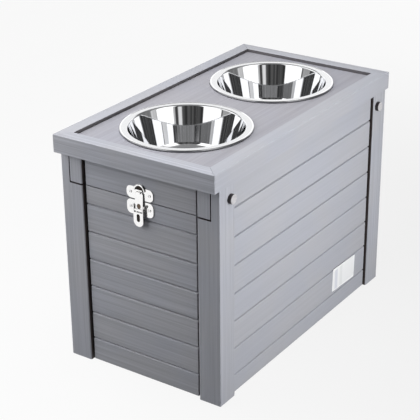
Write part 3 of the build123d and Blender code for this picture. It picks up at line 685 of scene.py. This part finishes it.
def grooved_planks(name, low, high, face_axis, out, grooves):
    """Planks as one board with V-grooves across its face, which looks along the face axis."""
    boards = bpy.context.scene.feeder_boards
    run_axis = Y if face_axis == X else X
    piece = block_piece(name, low, high)
    face = (high if out > 0 else low)[face_axis]
    ends = (low[run_axis], high[run_axis])

    def end_edge(edge):
        return along(edge, Z) and all(near(v.co[face_axis], face) for v in edge.verts) \
            and any(all(near(v.co[run_axis], place) for v in edge.verts) for place in ends)

    piece.choose("edges", end_edge)
    piece.bevel(boards.plank_end_round, 4)
    piece.ease(boards.arris)
    for groove in grooves:
        for offset in (-boards.groove_half, 0.0, boards.groove_half):
            piece.cut(Z, groove + offset)
    skin = boards.plank_end_round + TOUCH
    piece.choose("verts", lambda v: any(near(v.co.z, groove) for groove in grooves)
                 and abs(v.co[face_axis] - face) < skin)
    depth = [0.0, 0.0, 0.0]
    depth[face_axis] = face - out * boards.groove_depth
    flatten = [0.0 if axis == face_axis else 1.0 for axis in (X, Y, Z)]
    bpy.ops.transform.resize(value=flatten, center_override=depth)
    lips = [groove + offset for groove in grooves for offset in (-boards.groove_half, boards.groove_half)]
    piece.choose("edges", lambda e: any(at(e, z=lip) for lip in lips)
                 and all(abs(v.co[face_axis] - face) < skin for v in e.verts))
    piece.bevel(boards.arris, 2)
    return piece


def groove_heights(top, count):
    pitch = bpy.context.scene.feeder_boards.groove_pitch
    return [top - pitch * i for i in range(count)]


class FEEDER_OT_posts(bpy.types.Operator):
    """Four corner posts with rounded corners"""
    bl_idname = "feeder.posts"
    bl_label = "Corner posts"

    def execute(self, context):
        for end_name in ENDS:
            for side_name in SIDES:
                corner_post(end_name, side_name)
        return {"FINISHED"}


class FEEDER_OT_end_panels(bpy.types.Operator):
    """Grooved planks of the two ends, with the backing boards behind them"""
    bl_idname = "feeder.end_panels"
    bl_label = "End panels"

    def execute(self, context):
        boards = context.scene.feeder_boards
        for end_name, end in ENDS.items():
            node = end_name + "_panel"
            low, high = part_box(node)
            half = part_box("post_" + end_name + "_left")[0].y - boards.slit
            face = (high if end > 0 else low).x
            behind = face - end * boards.plank_thick
            deep = (low if end > 0 else high).x
            plank_low = Vector((min(face, behind), -half, low.z))
            plank_high = Vector((max(face, behind), half, high.z))
            grooves = groove_heights(boards.end_top_groove, boards.end_grooves)
            planks = grooved_planks(end_name + "_planks", plank_low, plank_high, X, end, grooves)
            planks.finish("end_planks", "box", "grey_board", node)
            plain_board(end_name + "_backing", (behind, low.y, low.z), (deep, high.y, high.z),
                        "grain_y", "box", "grey_board", node)
        return {"FINISHED"}


class FEEDER_OT_side_panels(bpy.types.Operator):
    """Grooved planks of the two long sides, with the backing boards behind them"""
    bl_idname = "feeder.side_panels"
    bl_label = "Side panels"

    def execute(self, context):
        boards = context.scene.feeder_boards
        for side_name, side in SIDES.items():
            node = "side_panel_" + side_name
            low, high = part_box(node)
            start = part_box("post_front_" + side_name)[1].x + boards.slit
            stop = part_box("post_rear_" + side_name)[0].x - boards.slit
            face = (high if side > 0 else low).y
            behind = face - side * boards.plank_thick
            deep = (low if side > 0 else high).y
            plank_low = Vector((start, min(face, behind), low.z))
            plank_high = Vector((stop, max(face, behind), high.z))
            grooves = groove_heights(boards.side_top_groove, boards.side_grooves)
            planks = grooved_planks(side_name + "_planks", plank_low, plank_high, Y, side, grooves)
            planks.finish("side_planks", "box", "grey_board", node)
            plain_board(side_name + "_backing", (low.x, behind, low.z), (high.x, deep, high.z),
                        "grain_x", "box", "grey_board", node)
        return {"FINISHED"}


class FEEDER_OT_floor_boards(bpy.types.Operator):
    """Floor of the storage space and the battens under it"""
    bl_idname = "feeder.floor_boards"
    bl_label = "Floor and battens"

    def execute(self, context):
        names = {"floor_panel": "grain_x", "floor_cleat_left": "grain_x", "floor_cleat_right": "grain_x",
                 "floor_cleat_front": "grain_y", "floor_cleat_rear": "grain_y"}
        for node, finish in names.items():
            plain_board(node + "_board", *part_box(node), finish, "box", "grey_board", node)
        return {"FINISHED"}


# ---- lid ----------------------------------------------------------------------------------------
def rim_board(where):
    """One mitred rim board, with its outer edges rounded."""
    boards = bpy.context.scene.feeder_boards
    node = "rim_" + where
    low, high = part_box(node)
    across, run = (X, Y) if where in ENDS else (Y, X)
    out = 1 if low[across] + high[across] > 0 else -1
    outer = (high if out > 0 else low)[across]
    inner = outer - out * boards.rim_width
    piece = block_piece(where + "_rim", low, high)
    for stop in (low[run], high[run]):
        piece.choose("verts", lambda v: near(v.co[across], inner) and near(v.co[run], stop))
        step = [0.0, 0.0, 0.0]
        step[run] = -boards.rim_width if stop > 0 else boards.rim_width
        piece.move(step)
    piece.choose("edges", lambda e: along(e, run) and all(near(v.co[across], outer) for v in e.verts))
    piece.bevel(boards.rim_round, 4)
    piece.choose("edges", lambda e: along(e, run) and e.calc_face_angle() > math.radians(60))
    piece.bevel(boards.arris, 2)
    return piece.finish("rim_y" if run == Y else "rim_x", "lid", "grey_board", node)


class FEEDER_OT_rim(bpy.types.Operator):
    """Mitred rim boards of the lid"""
    bl_idname = "feeder.rim"
    bl_label = "Rim"

    def execute(self, context):
        for where in ("front", "rear", "left", "right"):
            rim_board(where)
        return {"FINISHED"}


class FEEDER_OT_lid_panel(bpy.types.Operator):
    """Recessed lid panel with its tongue and two bowl holes"""
    bl_idname = "feeder.lid_panel"
    bl_label = "Lid panel"

    def execute(self, context):
        boards, bowls = context.scene.feeder_boards, context.scene.feeder_bowls
        low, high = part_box("lid_panel")
        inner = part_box("rim_right")[0].y + boards.rim_width
        tongue = inner - low.y
        middle = (low.z + high.z) / 2
        half = boards.tongue / 2
        piece = block_piece("lid_board", (low.x, low.y, middle - half), (high.x, high.y, middle + half))
        piece.choose("faces", lambda f: at(f, z=middle + half))
        piece.inset(tongue + boards.panel_gap)
        piece.extrude((0, 0, high.z - middle - half))
        piece.choose("faces", lambda f: at(f, z=middle - half))
        piece.inset(tongue)
        piece.extrude((0, 0, low.z - middle + half))
        piece.ease(boards.arris)
        object_mode()
        for end_name in ENDS:
            bowl_low, bowl_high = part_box("bowl_" + end_name)
            centre = (bowl_low + bowl_high) / 2
            cutter = Piece("bowl_hole", bpy.ops.mesh.primitive_cylinder_add, vertices=160, radius=bowls.hole,
                           depth=0.1, location=(centre.x, centre.y, middle))
            piece.cut_out(cutter)
            piece.edit()
            piece.choose("edges", lambda e: at(e, z=high.z) and all(
                abs((v.co.xy - centre.xy).length - bowls.hole) < TOUCH for v in e.verts))
            piece.bevel(bowls.hole_edge, 3)
        piece.finish("lid", "lid", "lid_board", "lid_panel")
        return {"FINISHED"}


class FEEDER_OT_aprons(bpy.types.Operator):
    """Planks under the ends of the rim, with the boards behind them"""
    bl_idname = "feeder.aprons"
    bl_label = "Aprons"

    def execute(self, context):
        boards = context.scene.feeder_boards
        for end_name, end in ENDS.items():
            node = "apron_" + end_name
            low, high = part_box(node)
            face = (high if end > 0 else low).x
            behind = face - end * boards.plank_thick
            deep = (low if end > 0 else high).x
            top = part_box("rim_" + end_name)[0].z
            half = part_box("post_" + end_name + "_left")[0].y - boards.slit
            piece = block_piece(end_name + "_apron", (face, -half, low.z), (behind, half, top))
            piece.choose("edges", lambda e: along(e, Z) and all(near(v.co.x, face) for v in e.verts))
            piece.bevel(boards.plank_end_round, 4)
            piece.choose("edges", lambda e: at(e, x=face, z=low.z))
            piece.bevel(boards.apron_chamfer, 3)
            piece.ease(boards.arris)
            piece.finish("grain_y", "lid", "grey_board", node)
            plain_board(end_name + "_apron_backing", (behind, low.y, low.z), (deep, high.y, high.z),
                        "grain_y", "lid", "grey_board", node)
        return {"FINISHED"}


class FEEDER_OT_lid_blocks(bpy.types.Operator):
    """Blocks that carry the posts' end legs on up to the rim"""
    bl_idname = "feeder.lid_blocks"
    bl_label = "Lid blocks"

    def execute(self, context):
        boards = context.scene.feeder_boards
        for end_name, end in ENDS.items():
            for side_name, side in SIDES.items():
                node = "lid_block_" + end_name + "_" + side_name
                low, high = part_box(node)
                face = (high if end > 0 else low).x
                edge = (low if side > 0 else high).y
                piece = block_piece(end_name + "_" + side_name + "_block", low, high)
                piece.choose("edges", lambda e: along(e, Z) and at(e, x=face, y=edge))
                piece.bevel(boards.leg_round, 5)
                piece.ease(boards.arris)
                piece.finish("blocks", "lid", "grey_board", node)
        return {"FINISHED"}


# ---- bowls --------------------------------------------------------------------------------------
def rounded_line(points, radii):
    """A line through points (radius, height), its inner corners rounded and its straights held flat by
    a point near each end."""
    line = [Vector(points[0])]
    for before, corner, after, radius in zip(points, points[1:], points[2:], radii):
        corner = Vector(corner)
        back, on = (Vector(before) - corner).normalized(), (Vector(after) - corner).normalized()
        half = back.angle(on) / 2
        centre = corner + (back + on).normalized() * (radius / math.sin(half))
        start = corner + back * (radius / math.tan(half)) - centre
        sweep = start.angle_signed(corner + on * (radius / math.tan(half)) - centre)
        steps = max(4, round(math.degrees(abs(sweep)) / 6))
        arc = [centre + Matrix.Rotation(-sweep * i / steps, 2) @ start for i in range(steps + 1)]
        hold = (arc[1] - arc[0]).length / 2
        line += [arc[0] + back * hold, *arc, arc[-1] + on * hold]
    line.append(Vector(points[-1]))
    return line


def bowl_outline(seat):
    """Section of the bowl from the middle of its inside, over the rolled edge, to the middle underneath."""
    bowls = bpy.context.scene.feeder_bowls
    top = seat + 2 * bowls.bead - bowls.bead_proud
    under = top - bowls.sheet
    floor = top - bowls.depth
    edge = bowls.rim - bowls.bead
    inside = rounded_line([(0, floor), (bowls.wall_low, floor), (bowls.wall_top, top), (edge, top)],
                          (bowls.corner, bowls.lip))
    outside = rounded_line([(0, floor - bowls.sheet), (bowls.wall_low + bowls.sheet, floor - bowls.sheet),
                            (bowls.wall_top + bowls.sheet, under), (edge, under)],
                           (bowls.corner + bowls.sheet, bowls.lip - bowls.sheet))
    middle = seat + bowls.bead
    rise, fall = (math.acos((level - middle) / bowls.bead) for level in (top, under))
    turn = [rise * -1 + (2 * math.pi - fall + rise) * i / 24 for i in range(25)]
    bead = [Vector((edge + bowls.bead * math.sin(a), middle + bowls.bead * math.cos(a))) for a in turn]
    return inside[:-1] + bead + outside[-2::-1]


def turned_piece(name, axis_place, outline, steps):
    """A piece spun about an upright axis from its section, (radius, height) by (radius, height)."""
    start = outline[0]
    piece = Piece(name, bpy.ops.mesh.primitive_plane_add, size=0.01,
                  location=(axis_place.x + start[0], axis_place.y, start[1]))
    bpy.ops.mesh.select_mode(type="VERT")
    bpy.ops.mesh.select_all(action="SELECT")
    bpy.ops.mesh.merge(type="CENTER")
    for before, after in zip(outline, outline[1:]):
        step = (after[0] - before[0], 0, after[1] - before[1])
        bpy.ops.mesh.extrude_vertices_move(TRANSFORM_OT_translate={"value": step})
    bpy.ops.mesh.select_all(action="SELECT")
    bpy.ops.mesh.spin(steps=steps, angle=2 * math.pi, center=(axis_place.x, axis_place.y, 0), axis=(0, 0, 1))
    bpy.ops.mesh.select_all(action="SELECT")
    bpy.ops.mesh.remove_doubles(threshold=2e-6)
    bpy.ops.mesh.normals_make_consistent(inside=False)
    return piece


class FEEDER_OT_bowls(bpy.types.Operator):
    """Two pressed steel bowls with flanges and rolled edges"""
    bl_idname = "feeder.bowls"
    bl_label = "Bowls"

    def execute(self, context):
        for end_name in ENDS:
            node = "bowl_" + end_name
            low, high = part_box(node)
            seat = high.z - 2 * context.scene.feeder_bowls.bead
            piece = turned_piece(end_name + "_steel_bowl", (low + high) / 2, bowl_outline(seat), 160)
            piece.finish("bowl_steel", node, "polished_steel", node, even=False)
        return {"FINISHED"}


# ---- fixings ------------------------------------------------------------------------------------
def solids_of(node):
    """The low and high corner of each separate solid of a construction node."""
    mesh = bmesh.new()
    mesh.from_mesh(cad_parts[node].data)
    bmesh.ops.remove_doubles(mesh, verts=mesh.verts, dist=1e-6)
    left = set(mesh.verts)
    found = []
    while left:
        joined = [left.pop()]
        for vert in joined:
            linked = {edge.other_vert(vert) for edge in vert.link_edges} & left
            left -= linked
            joined.extend(linked)
        spots = list(zip(*(vert.co for vert in joined)))
        found.append((Vector(map(min, spots)), Vector(map(max, spots))))
    mesh.free()
    return sorted(found, key=lambda pair: tuple(pair[0]))


def copy_of(thing, matrix):
    """A copy with its own mesh, put in place."""
    deselect_all()
    thing.select_set(True)
    bpy.context.view_layer.objects.active = thing
    bpy.ops.object.duplicate()
    copy = bpy.context.active_object
    copy.matrix_world = matrix
    bpy.ops.object.transform_apply(location=True, rotation=True, scale=True)
    return copy


def remove(thing):
    deselect_all()
    thing.select_set(True)
    bpy.ops.object.delete()


def join(things, name):
    """Several objects as one."""
    deselect_all()
    for thing in things:
        thing.select_set(True)
    bpy.context.view_layer.objects.active = things[0]
    bpy.ops.object.join()
    things[0].name = name
    things[0].data.name = name
    return things[0]


def screw_model(head_r, head_h, shank_r, reach):
    """Pan-head screw at the origin, its head up +Z, with a cross recess."""
    piece = Piece("screw", bpy.ops.mesh.primitive_cylinder_add, vertices=32, radius=head_r, depth=head_h,
                  location=(0, 0, head_h / 2))
    piece.choose("edges", lambda e: at(e, z=head_h))
    piece.bevel(head_h * 0.7, 4)
    piece.choose("faces", lambda f: at(f, z=0))
    piece.inset(head_r - shank_r)
    piece.extrude((0, 0, -reach * 0.85))
    piece.extrude((0, 0, -reach * 0.15))
    bpy.ops.transform.resize(value=(0.25, 0.25, 1.0))
    for wide, narrow in ((1.1, 0.26), (0.26, 1.1)):
        slot = block_piece("recess", (-head_r * wide / 2, -head_r * narrow / 2, head_h * 0.35),
                           (head_r * wide / 2, head_r * narrow / 2, head_h * 1.5))
        piece.cut_out(slot)
    return piece.object


def screw_group(node, body, kind, heads):
    """The screws of one node; heads is 1 where they face away from the middle of the box, else -1."""
    head_h, shank_r, finish, slot = kind
    solids = solids_of(node)
    size = solids[0][1] - solids[0][0]
    reach = max(size) - head_h
    model = screw_model(sorted(size)[0] / 2, head_h, shank_r, reach)
    copies = []
    for low, high in solids:
        size, middle = high - low, (low + high) / 2
        axis = max((X, Y, Z), key=lambda a: size[a])
        way = Vector((0, 0, 0))
        way[axis] = math.copysign(heads, middle[axis])
        seat = middle + way * (size[axis] / 2 - head_h)
        turn = Vector((0, 0, 1)).rotation_difference(way).to_matrix().to_4x4()
        copies.append(copy_of(model, Matrix.Translation(seat) @ turn))
    remove(model)
    whole = join(copies, node + "_set")
    hand_over(whole, finish, body, slot, node)


class FEEDER_OT_screws(bpy.types.Operator):
    """Pan-head screws of the panels, battens, aprons, hinges and latch"""
    bl_idname = "feeder.screws"
    bl_label = "Screws"

    def execute(self, context):
        hardware = context.scene.feeder_hardware
        wood = (hardware.wood_head, hardware.wood_shank, "zinc", "zinc_steel")
        hinge = (hardware.hinge_head, hardware.small_shank, "nickel", "bright_nickel")
        latch = (hardware.latch_head, hardware.small_shank, "nickel", "bright_nickel")
        groups = {"panel_screws": ("box", wood, -1), "cleat_screws": ("box", wood, -1),
                  "apron_screws": ("lid", wood, -1), "hinge_lower_screws": ("box", hinge, 1),
                  "hinge_upper_screws": ("lid", hinge, 1), "latch_base_screws": ("box", latch, 1),
                  "keeper_screws": ("lid", latch, 1)}
        for node, (body, kind, heads) in groups.items():
            screw_group(node, body, kind, heads)
        return {"FINISHED"}


class FEEDER_OT_knobs(bpy.types.Operator):
    """Round knobs on the posts' side legs"""
    bl_idname = "feeder.knobs"
    bl_label = "Knobs"

    def execute(self, context):
        hardware = context.scene.feeder_hardware
        low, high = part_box("post_knob_front_right")
        radius, height = (high.z - low.z) / 2, high.y - low.y
        piece = Piece("knob", bpy.ops.mesh.primitive_cylinder_add, vertices=64, radius=radius, depth=height,
                      location=(0, -height / 2, 0), rotation=(math.pi / 2, 0, 0))
        piece.choose("edges", lambda e: at(e, y=-height))
        piece.bevel(hardware.knob_round, 5)
        piece.choose("faces", lambda f: at(f, y=-height))
        piece.inset(hardware.knob_cap)
        piece.inset(hardware.knob_cap * 0.4)
        piece.move((0, hardware.knob_dish, 0))
        dress(piece.object, "knob", "knob_face")
        piece.choose("faces", lambda f: f.normal.y < -0.6)
        piece.object.active_material_index = 1
        bpy.ops.object.material_slot_assign()
        object_mode()
        for end_name in ENDS:
            for side_name, side in SIDES.items():
                node = "post_knob_" + end_name + "_" + side_name
                low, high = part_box(node)
                seat = Vector(((low.x + high.x) / 2, low.y if side > 0 else high.y, (low.z + high.z) / 2))
                turn = Matrix.Rotation(math.pi if side > 0 else 0.0, 4, "Z")
                knob = copy_of(piece.object, Matrix.Translation(seat) @ turn)
                knob.name = end_name + "_" + side_name + "_knob"
                hand_over(knob, None, "box", "dark_knob", node)
        remove(piece.object)
        return {"FINISHED"}


def trued_piece(node, edge):
    """A metal part taken over from its construction node, with its edges broken, still in edit mode."""
    deselect_all()
    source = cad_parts[node]
    part = bpy.data.objects.new(node + "_part", source.data.copy())
    bpy.context.scene.collection.objects.link(part)
    part.select_set(True)
    bpy.context.view_layer.objects.active = part
    bpy.ops.mesh.customdata_custom_splitnormals_clear()
    piece = Piece.of(part)
    bpy.ops.mesh.select_all(action="SELECT")
    bpy.ops.mesh.remove_doubles(threshold=1e-6)
    bpy.ops.mesh.dissolve_limited(angle_limit=math.radians(1.0))
    piece.choose("edges", lambda e: len(e.link_faces) == 2 and e.calc_face_angle() > math.radians(40))
    piece.bevel(edge, 2)
    return piece


def press_hollow(piece):
    """An oval hollow pressed into the front of the latch's link, dull and painted dark brown inside as shade.
    """
    hardware = bpy.context.scene.feeder_hardware
    low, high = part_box("latch_link")
    object_mode()
    start = Vector((low.x - 0.01, (low.y + high.y) / 2, low.z + hardware.hollow_height))
    centre = piece.object.ray_cast(start, Vector((1, 0, 0)))[1]
    size = (hardware.hollow_deep, hardware.hollow_wide / 2, hardware.hollow_high / 2)
    cutter = Piece("hollow", bpy.ops.mesh.primitive_uv_sphere_add, segments=48, ring_count=24, radius=1,
                   location=centre, scale=size)
    object_mode()
    # The cutter's faces carry the painted shade into the hollow.
    for thing in (piece.object, cutter.object):
        dress(thing, "nickel", "tarnish")
    for face in cutter.object.data.polygons:
        face.material_index = 1
    piece.cut_out(cutter)


class FEEDER_OT_hinges(bpy.types.Operator):
    """Leaves and pins of the two hinges"""
    bl_idname = "feeder.hinges"
    bl_label = "Hinges"

    def execute(self, context):
        edge = context.scene.feeder_hardware.sheet_edge
        for side_name in SIDES:
            for part, finish, body, slot in (("lower_leaf", "nickel", "box", "bright_nickel"),
                                             ("upper_leaf", "nickel", "lid", "bright_nickel"),
                                             ("pin", "zinc", "box", "zinc_steel")):
                node = "hinge_" + part + "_" + side_name
                trued_piece(node, edge).finish(finish, body, slot, node)
        return {"FINISHED"}


class FEEDER_OT_knob_fixings(bpy.types.Operator):
    """Bolts of the knobs, with their washers and nuts inside the box"""
    bl_idname = "feeder.knob_fixings"
    bl_label = "Knob fixings"

    def execute(self, context):
        edge = context.scene.feeder_hardware.sheet_edge
        for node in ("knob_bolts", "knob_nuts"):
            trued_piece(node, edge).finish("zinc", "box", "zinc_steel", node)
        return {"FINISHED"}


class FEEDER_OT_latch(bpy.types.Operator):
    """Toggle latch: base with its flanges, keeper with its arch, lever, link and pins, and near black sheets
    that paint the shade inside the arch and behind the lever's slot
    """
    bl_idname = "feeder.latch"
    bl_label = "Latch"

    def execute(self, context):
        hardware = context.scene.feeder_hardware
        bodies = {"latch_base": "box", "latch_pivot_rivets": "box", "keeper_plate": "lid",
                  "latch_lever": "latch_lever", "latch_link_pin": "latch_lever"}
        for node, body in bodies.items():
            trued_piece(node, hardware.sheet_edge).finish("nickel", body, "bright_nickel", node)
        link = trued_piece("latch_link", hardware.sheet_edge)
        press_hollow(link)
        link.finish(None, "latch_link", "bright_nickel", "latch_link")
        # Painted shade: a near black disc inside the keeper's arch and a near black sheet behind the lever's
        # slot stand in for the shade there.
        keeper_low, keeper_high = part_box("keeper_plate")
        lever_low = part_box("latch_lever")[0]
        middle = (keeper_low.y + keeper_high.y) / 2
        place = (keeper_high.x - hardware.shade_sheet_thick, middle, keeper_low.z + hardware.arch_height)
        pad = Piece("arch_pad", bpy.ops.mesh.primitive_cylinder_add, vertices=48, radius=hardware.shade_disc_radius,
                    depth=hardware.shade_sheet_thick, rotation=(0, math.pi / 2, 0), location=place)
        pad.ease(hardware.shade_sheet_thick / 4)
        pad.finish("pad", "lid", "dark_knob")
        behind = lever_low.x + hardware.lever_sheet + hardware.shade_sheet_gap
        half = hardware.slot_shade_wide / 2
        slot_shade = block_piece("lever_buffer", (behind, middle - half, lever_low.z + hardware.slot_shade_low),
                             (behind + hardware.shade_sheet_thick, middle + half, lever_low.z + hardware.slot_shade_top))
        slot_shade.ease(hardware.shade_sheet_thick / 4)
        slot_shade.finish("pad", "latch_lever", "dark_knob")
        return {"FINISHED"}


class FEEDER_OT_sticker(bpy.types.Operator):
    """Blank sticker on the right side, a little askew"""
    bl_idname = "feeder.sticker"
    bl_label = "Sticker"

    def execute(self, context):
        hardware = context.scene.feeder_hardware
        low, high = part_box("blank_label")
        size = Vector((hardware.sticker_wide, high.y - low.y, hardware.sticker_high))
        piece = Piece("blank_sticker", bpy.ops.mesh.primitive_cube_add, size=1, location=(low + high) / 2,
                      rotation=(0, hardware.sticker_tilt, 0), scale=size)
        piece.choose("edges", lambda e: along(e, Y))
        piece.bevel(hardware.sticker_corner, 4)
        piece.finish("sticker", "box", "white_sticker", "blank_label", even=False)
        return {"FINISHED"}


# ---- studio -------------------------------------------------------------------------------------
def stage_piece(name, material, primitive, **options):
    """A plane of the studio, not part of the feeder."""
    piece = Piece(name, primitive, **options)
    object_mode()
    dress(piece.object, material)
    return piece.object


AWAY = (0.83, 0.56)              # direction of view on the floor
DIM_ACROSS = (-0.35, 0.45)       # where the painted shadow on the floor begins and is full, towards the right of the view
DIM_FADES = (0.3, 1.6)           # where the painted shadow fades again with distance
FLOOR_CLOUDS = 7.0               # patches in a metre


def floor_material():
    """Near white to the camera and to reflections, with a painted shadow on the right near the feeder; a dark
    bounce for soft light.
    """
    studio = bpy.context.scene.feeder_studio
    material, s = new_shader("studio_floor")
    here = s.place()
    rightward = s.axis(here, X) * AWAY[Y] - s.axis(here, Y) * AWAY[X]
    distant = s.axis(here, X) * AWAY[X] + s.axis(here, Y) * AWAY[Y]
    # Painted shadow: the floor dims towards glow_right on the right of the feeder and fades back with
    # distance.
    dim = rightward.ramp(*DIM_ACROSS) * (1 - distant.ramp(*DIM_FADES))
    glow = studio.glow_left - dim * (studio.glow_left - studio.glow_right)
    cloud = s.noise(s.stretched(here, FLOOR_CLOUDS), detail=3.0)
    glow = glow * (0.995 + cloud * 0.01)
    seen, mirrored = (s.node("ShaderNodeLightPath", output=ray) for ray in ("Is Camera Ray", "Is Glossy Ray"))
    shown = s.node("ShaderNodeBsdfPrincipled", None, {
        "Base Color": studio.floor, "Roughness": 0.9, "Specular IOR Level": 0.0,
        "Emission Color": s.mix(glow, (0.0, 0.0, 0.0), (1.0, 1.0, 1.0)), "Emission Strength": 1.0})
    bounced = s.node("ShaderNodeBsdfDiffuse", None, {"Color": studio.bounce})
    both = s.node("ShaderNodeMixShader", None, {0: seen + mirrored, 1: bounced, 2: shown})
    s.node("ShaderNodeOutputMaterial", None, {"Surface": both})
    return material


# What polished steel mirrors. Each softbox: heading of its middle, half its width, lowest and highest
# elevation, all in degrees, and its brightness.
SOFTBOXES = ((32, 52, -5, 36, 1.15), (-101, 17, 4, 57, 1.35), (-120, 2, 4, 57, 0.45),
             (108, 13, 8, 60, 1.35), (131, 9, -5, 60, 0.30), (131, 9, 13, 60, 0.45),
             (162, 19, -5, 58, 1.35), (-77, 6, -5, 70, 0.50), (-51, 24, -5, 60, 0.13),
             (-132, 3.5, 3, 15, 0.75), (33, 30, 37, 44, 0.17), (69, 8, 37, 42, 0.14))


MIRRORED_STRENGTH = 2.0          # brightness that a full white stands for


def softbox(s, direction, heading, half, low, high, brightness):
    """The share of a softbox in a direction, times its brightness."""
    x, y, z = (s.axis(direction, axis) for axis in (X, Y, Z))
    across = (x * x + y * y) ** 0.5 + 1e-4
    middle = math.radians(heading)
    turned = (x * math.cos(middle) + y * math.sin(middle)) / across
    inside = turned.ramp(math.cos(math.radians(half + 1.5)), math.cos(math.radians(half - 1.5)))
    bottom, top = (math.sin(math.radians(level)) for level in (low, high))
    return inside * z.band(bottom - 0.04, bottom, top, top + 0.06) * brightness


def sky():
    """Even light from all round; reflections see softboxes in a dim room, paler overhead."""
    studio = bpy.context.scene.feeder_studio
    world = bpy.data.worlds.new("studio")
    world.use_nodes = True
    bpy.context.scene.world = world
    s = Shader(world.node_tree)
    direction = s.node("ShaderNodeTexCoord", output="Generated")
    height = s.axis(direction, Z)
    streaks = s.lines(s.axis(direction, Y).heading(s.axis(direction, X)) * 9.0)
    room = streaks.ramp(0.3, 0.7) * 0.07 + height.ramp(0.69, 0.77) * 0.20 + 0.03
    for box in SOFTBOXES:
        room = room + softbox(s, direction, *box)
    mirrored_tone = s.mix(room * (1 / MIRRORED_STRENGTH), (0.0, 0.0, 0.0), (1.0, 1.0, 1.0))
    even = s.node("ShaderNodeBackground", None, {"Color": (1.0, 1.0, 1.0), "Strength": studio.sky})
    mirrored = s.node("ShaderNodeBackground", None, {"Color": mirrored_tone, "Strength": MIRRORED_STRENGTH})
    glossy = s.node("ShaderNodeLightPath", output="Is Glossy Ray")
    both = s.node("ShaderNodeMixShader", None, {0: glossy, 1: even, 2: mirrored})
    s.node("ShaderNodeOutputWorld", None, {"Surface": both})


def lamp(name, place, target, power, wide, high):
    """A rectangular lamp that faces a point."""
    bpy.ops.object.light_add(type="AREA", location=place)
    thing = bpy.context.active_object
    thing.name = name
    thing.data.shape = "RECTANGLE"
    thing.data.size, thing.data.size_y = wide, high
    thing.data.energy = power
    thing.rotation_euler = (Vector(target) - Vector(place)).to_track_quat("-Z", "Y").to_euler()
    return thing


class FEEDER_OT_studio(bpy.types.Operator):
    """Floor, lamps, surroundings and camera"""
    bl_idname = "feeder.studio"
    bl_label = "Studio"

    def execute(self, context):
        studio = context.scene.feeder_studio
        stage_piece("studio_ground", floor_material(), bpy.ops.mesh.primitive_plane_add, size=30,
                    location=(0, 0, 0))
        deselect_all()
        lamps = (lamp("side_lamp", (-0.04, -0.86, 0.40), (0.0, 0, 0.26), studio.side_power, 0.8, 0.3),
                 lamp("top_lamp", (-0.20, -0.10, 1.9), (-0.1, 0, 0.4), studio.top_power, 0.9, 0.9),
                 lamp("fill_lamp", (-0.66, 0.80, 0.68), (-0.25, 0, 0.2), studio.fill_power, 1.1, 1.1),
                 lamp("back_lamp", (3.0, 0.60, 0.28), (0.0, 0, 0.22), studio.back_power, 2.0, 0.44))
        for thing in lamps:
            thing.visible_glossy = False
        sky()
        camera_data = bpy.data.cameras.new("view")
        camera_data.sensor_width = 36.0
        camera_data.lens = studio.camera_lens
        camera = bpy.data.objects.new("view", camera_data)
        context.scene.collection.objects.link(camera)
        heading, dip = studio.camera_heading, studio.camera_dip
        look = Vector((math.cos(dip) * math.cos(heading), math.cos(dip) * math.sin(heading), -math.sin(dip)))
        right = look.cross(Vector((0, 0, 1))).normalized()
        up = right.cross(look)
        c, sn = math.cos(studio.camera_roll), math.sin(studio.camera_roll)
        turned_right, turned_up = c * right + sn * up, c * up - sn * right
        frame_of_view = Matrix((turned_right, turned_up, -look)).transposed().to_4x4()
        camera.matrix_world = Matrix.Translation(studio.camera_place) @ frame_of_view
        context.scene.camera = camera
        context.scene.view_settings.view_transform = "Standard"
        return {"FINISHED"}


# ---- add-on -------------------------------------------------------------------------------------
class FEEDER_PT_pieces(bpy.types.Panel):
    """Buttons that build the feeder, piece by piece"""
    bl_label = "Elevated feeder"
    bl_idname = "FEEDER_PT_pieces"
    bl_space_type = "VIEW_3D"
    bl_region_type = "UI"
    bl_category = "Feeder"

    def draw(self, context):
        for operator in OPERATORS:
            self.layout.operator(operator.bl_idname)


OPERATORS = (FEEDER_OT_posts, FEEDER_OT_end_panels, FEEDER_OT_side_panels, FEEDER_OT_floor_boards,
             FEEDER_OT_rim, FEEDER_OT_lid_panel, FEEDER_OT_aprons, FEEDER_OT_lid_blocks, FEEDER_OT_bowls,
             FEEDER_OT_screws, FEEDER_OT_knobs, FEEDER_OT_knob_fixings, FEEDER_OT_hinges, FEEDER_OT_latch,
             FEEDER_OT_sticker, FEEDER_OT_studio)
SETTINGS = {"feeder_boards": BoardSettings, "feeder_bowls": BowlSettings,
            "feeder_hardware": HardwareSettings, "feeder_studio": StudioSettings}


def register():
    for group in SETTINGS.values():
        bpy.utils.register_class(group)
    for name, group in SETTINGS.items():
        setattr(bpy.types.Scene, name, PointerProperty(type=group))
    for operator in OPERATORS:
        bpy.utils.register_class(operator)
    bpy.utils.register_class(FEEDER_PT_pieces)


def unregister():
    bpy.utils.unregister_class(FEEDER_PT_pieces)
    for operator in reversed(OPERATORS):
        bpy.utils.unregister_class(operator)
    for name, group in SETTINGS.items():
        delattr(bpy.types.Scene, name)
        bpy.utils.unregister_class(group)


def main():
    register()
    for operator in OPERATORS:
        group, name = operator.bl_idname.split(".")
        getattr(getattr(bpy.ops, group), name)()
    deselect_all()


if __name__ == "__main__":
    main()
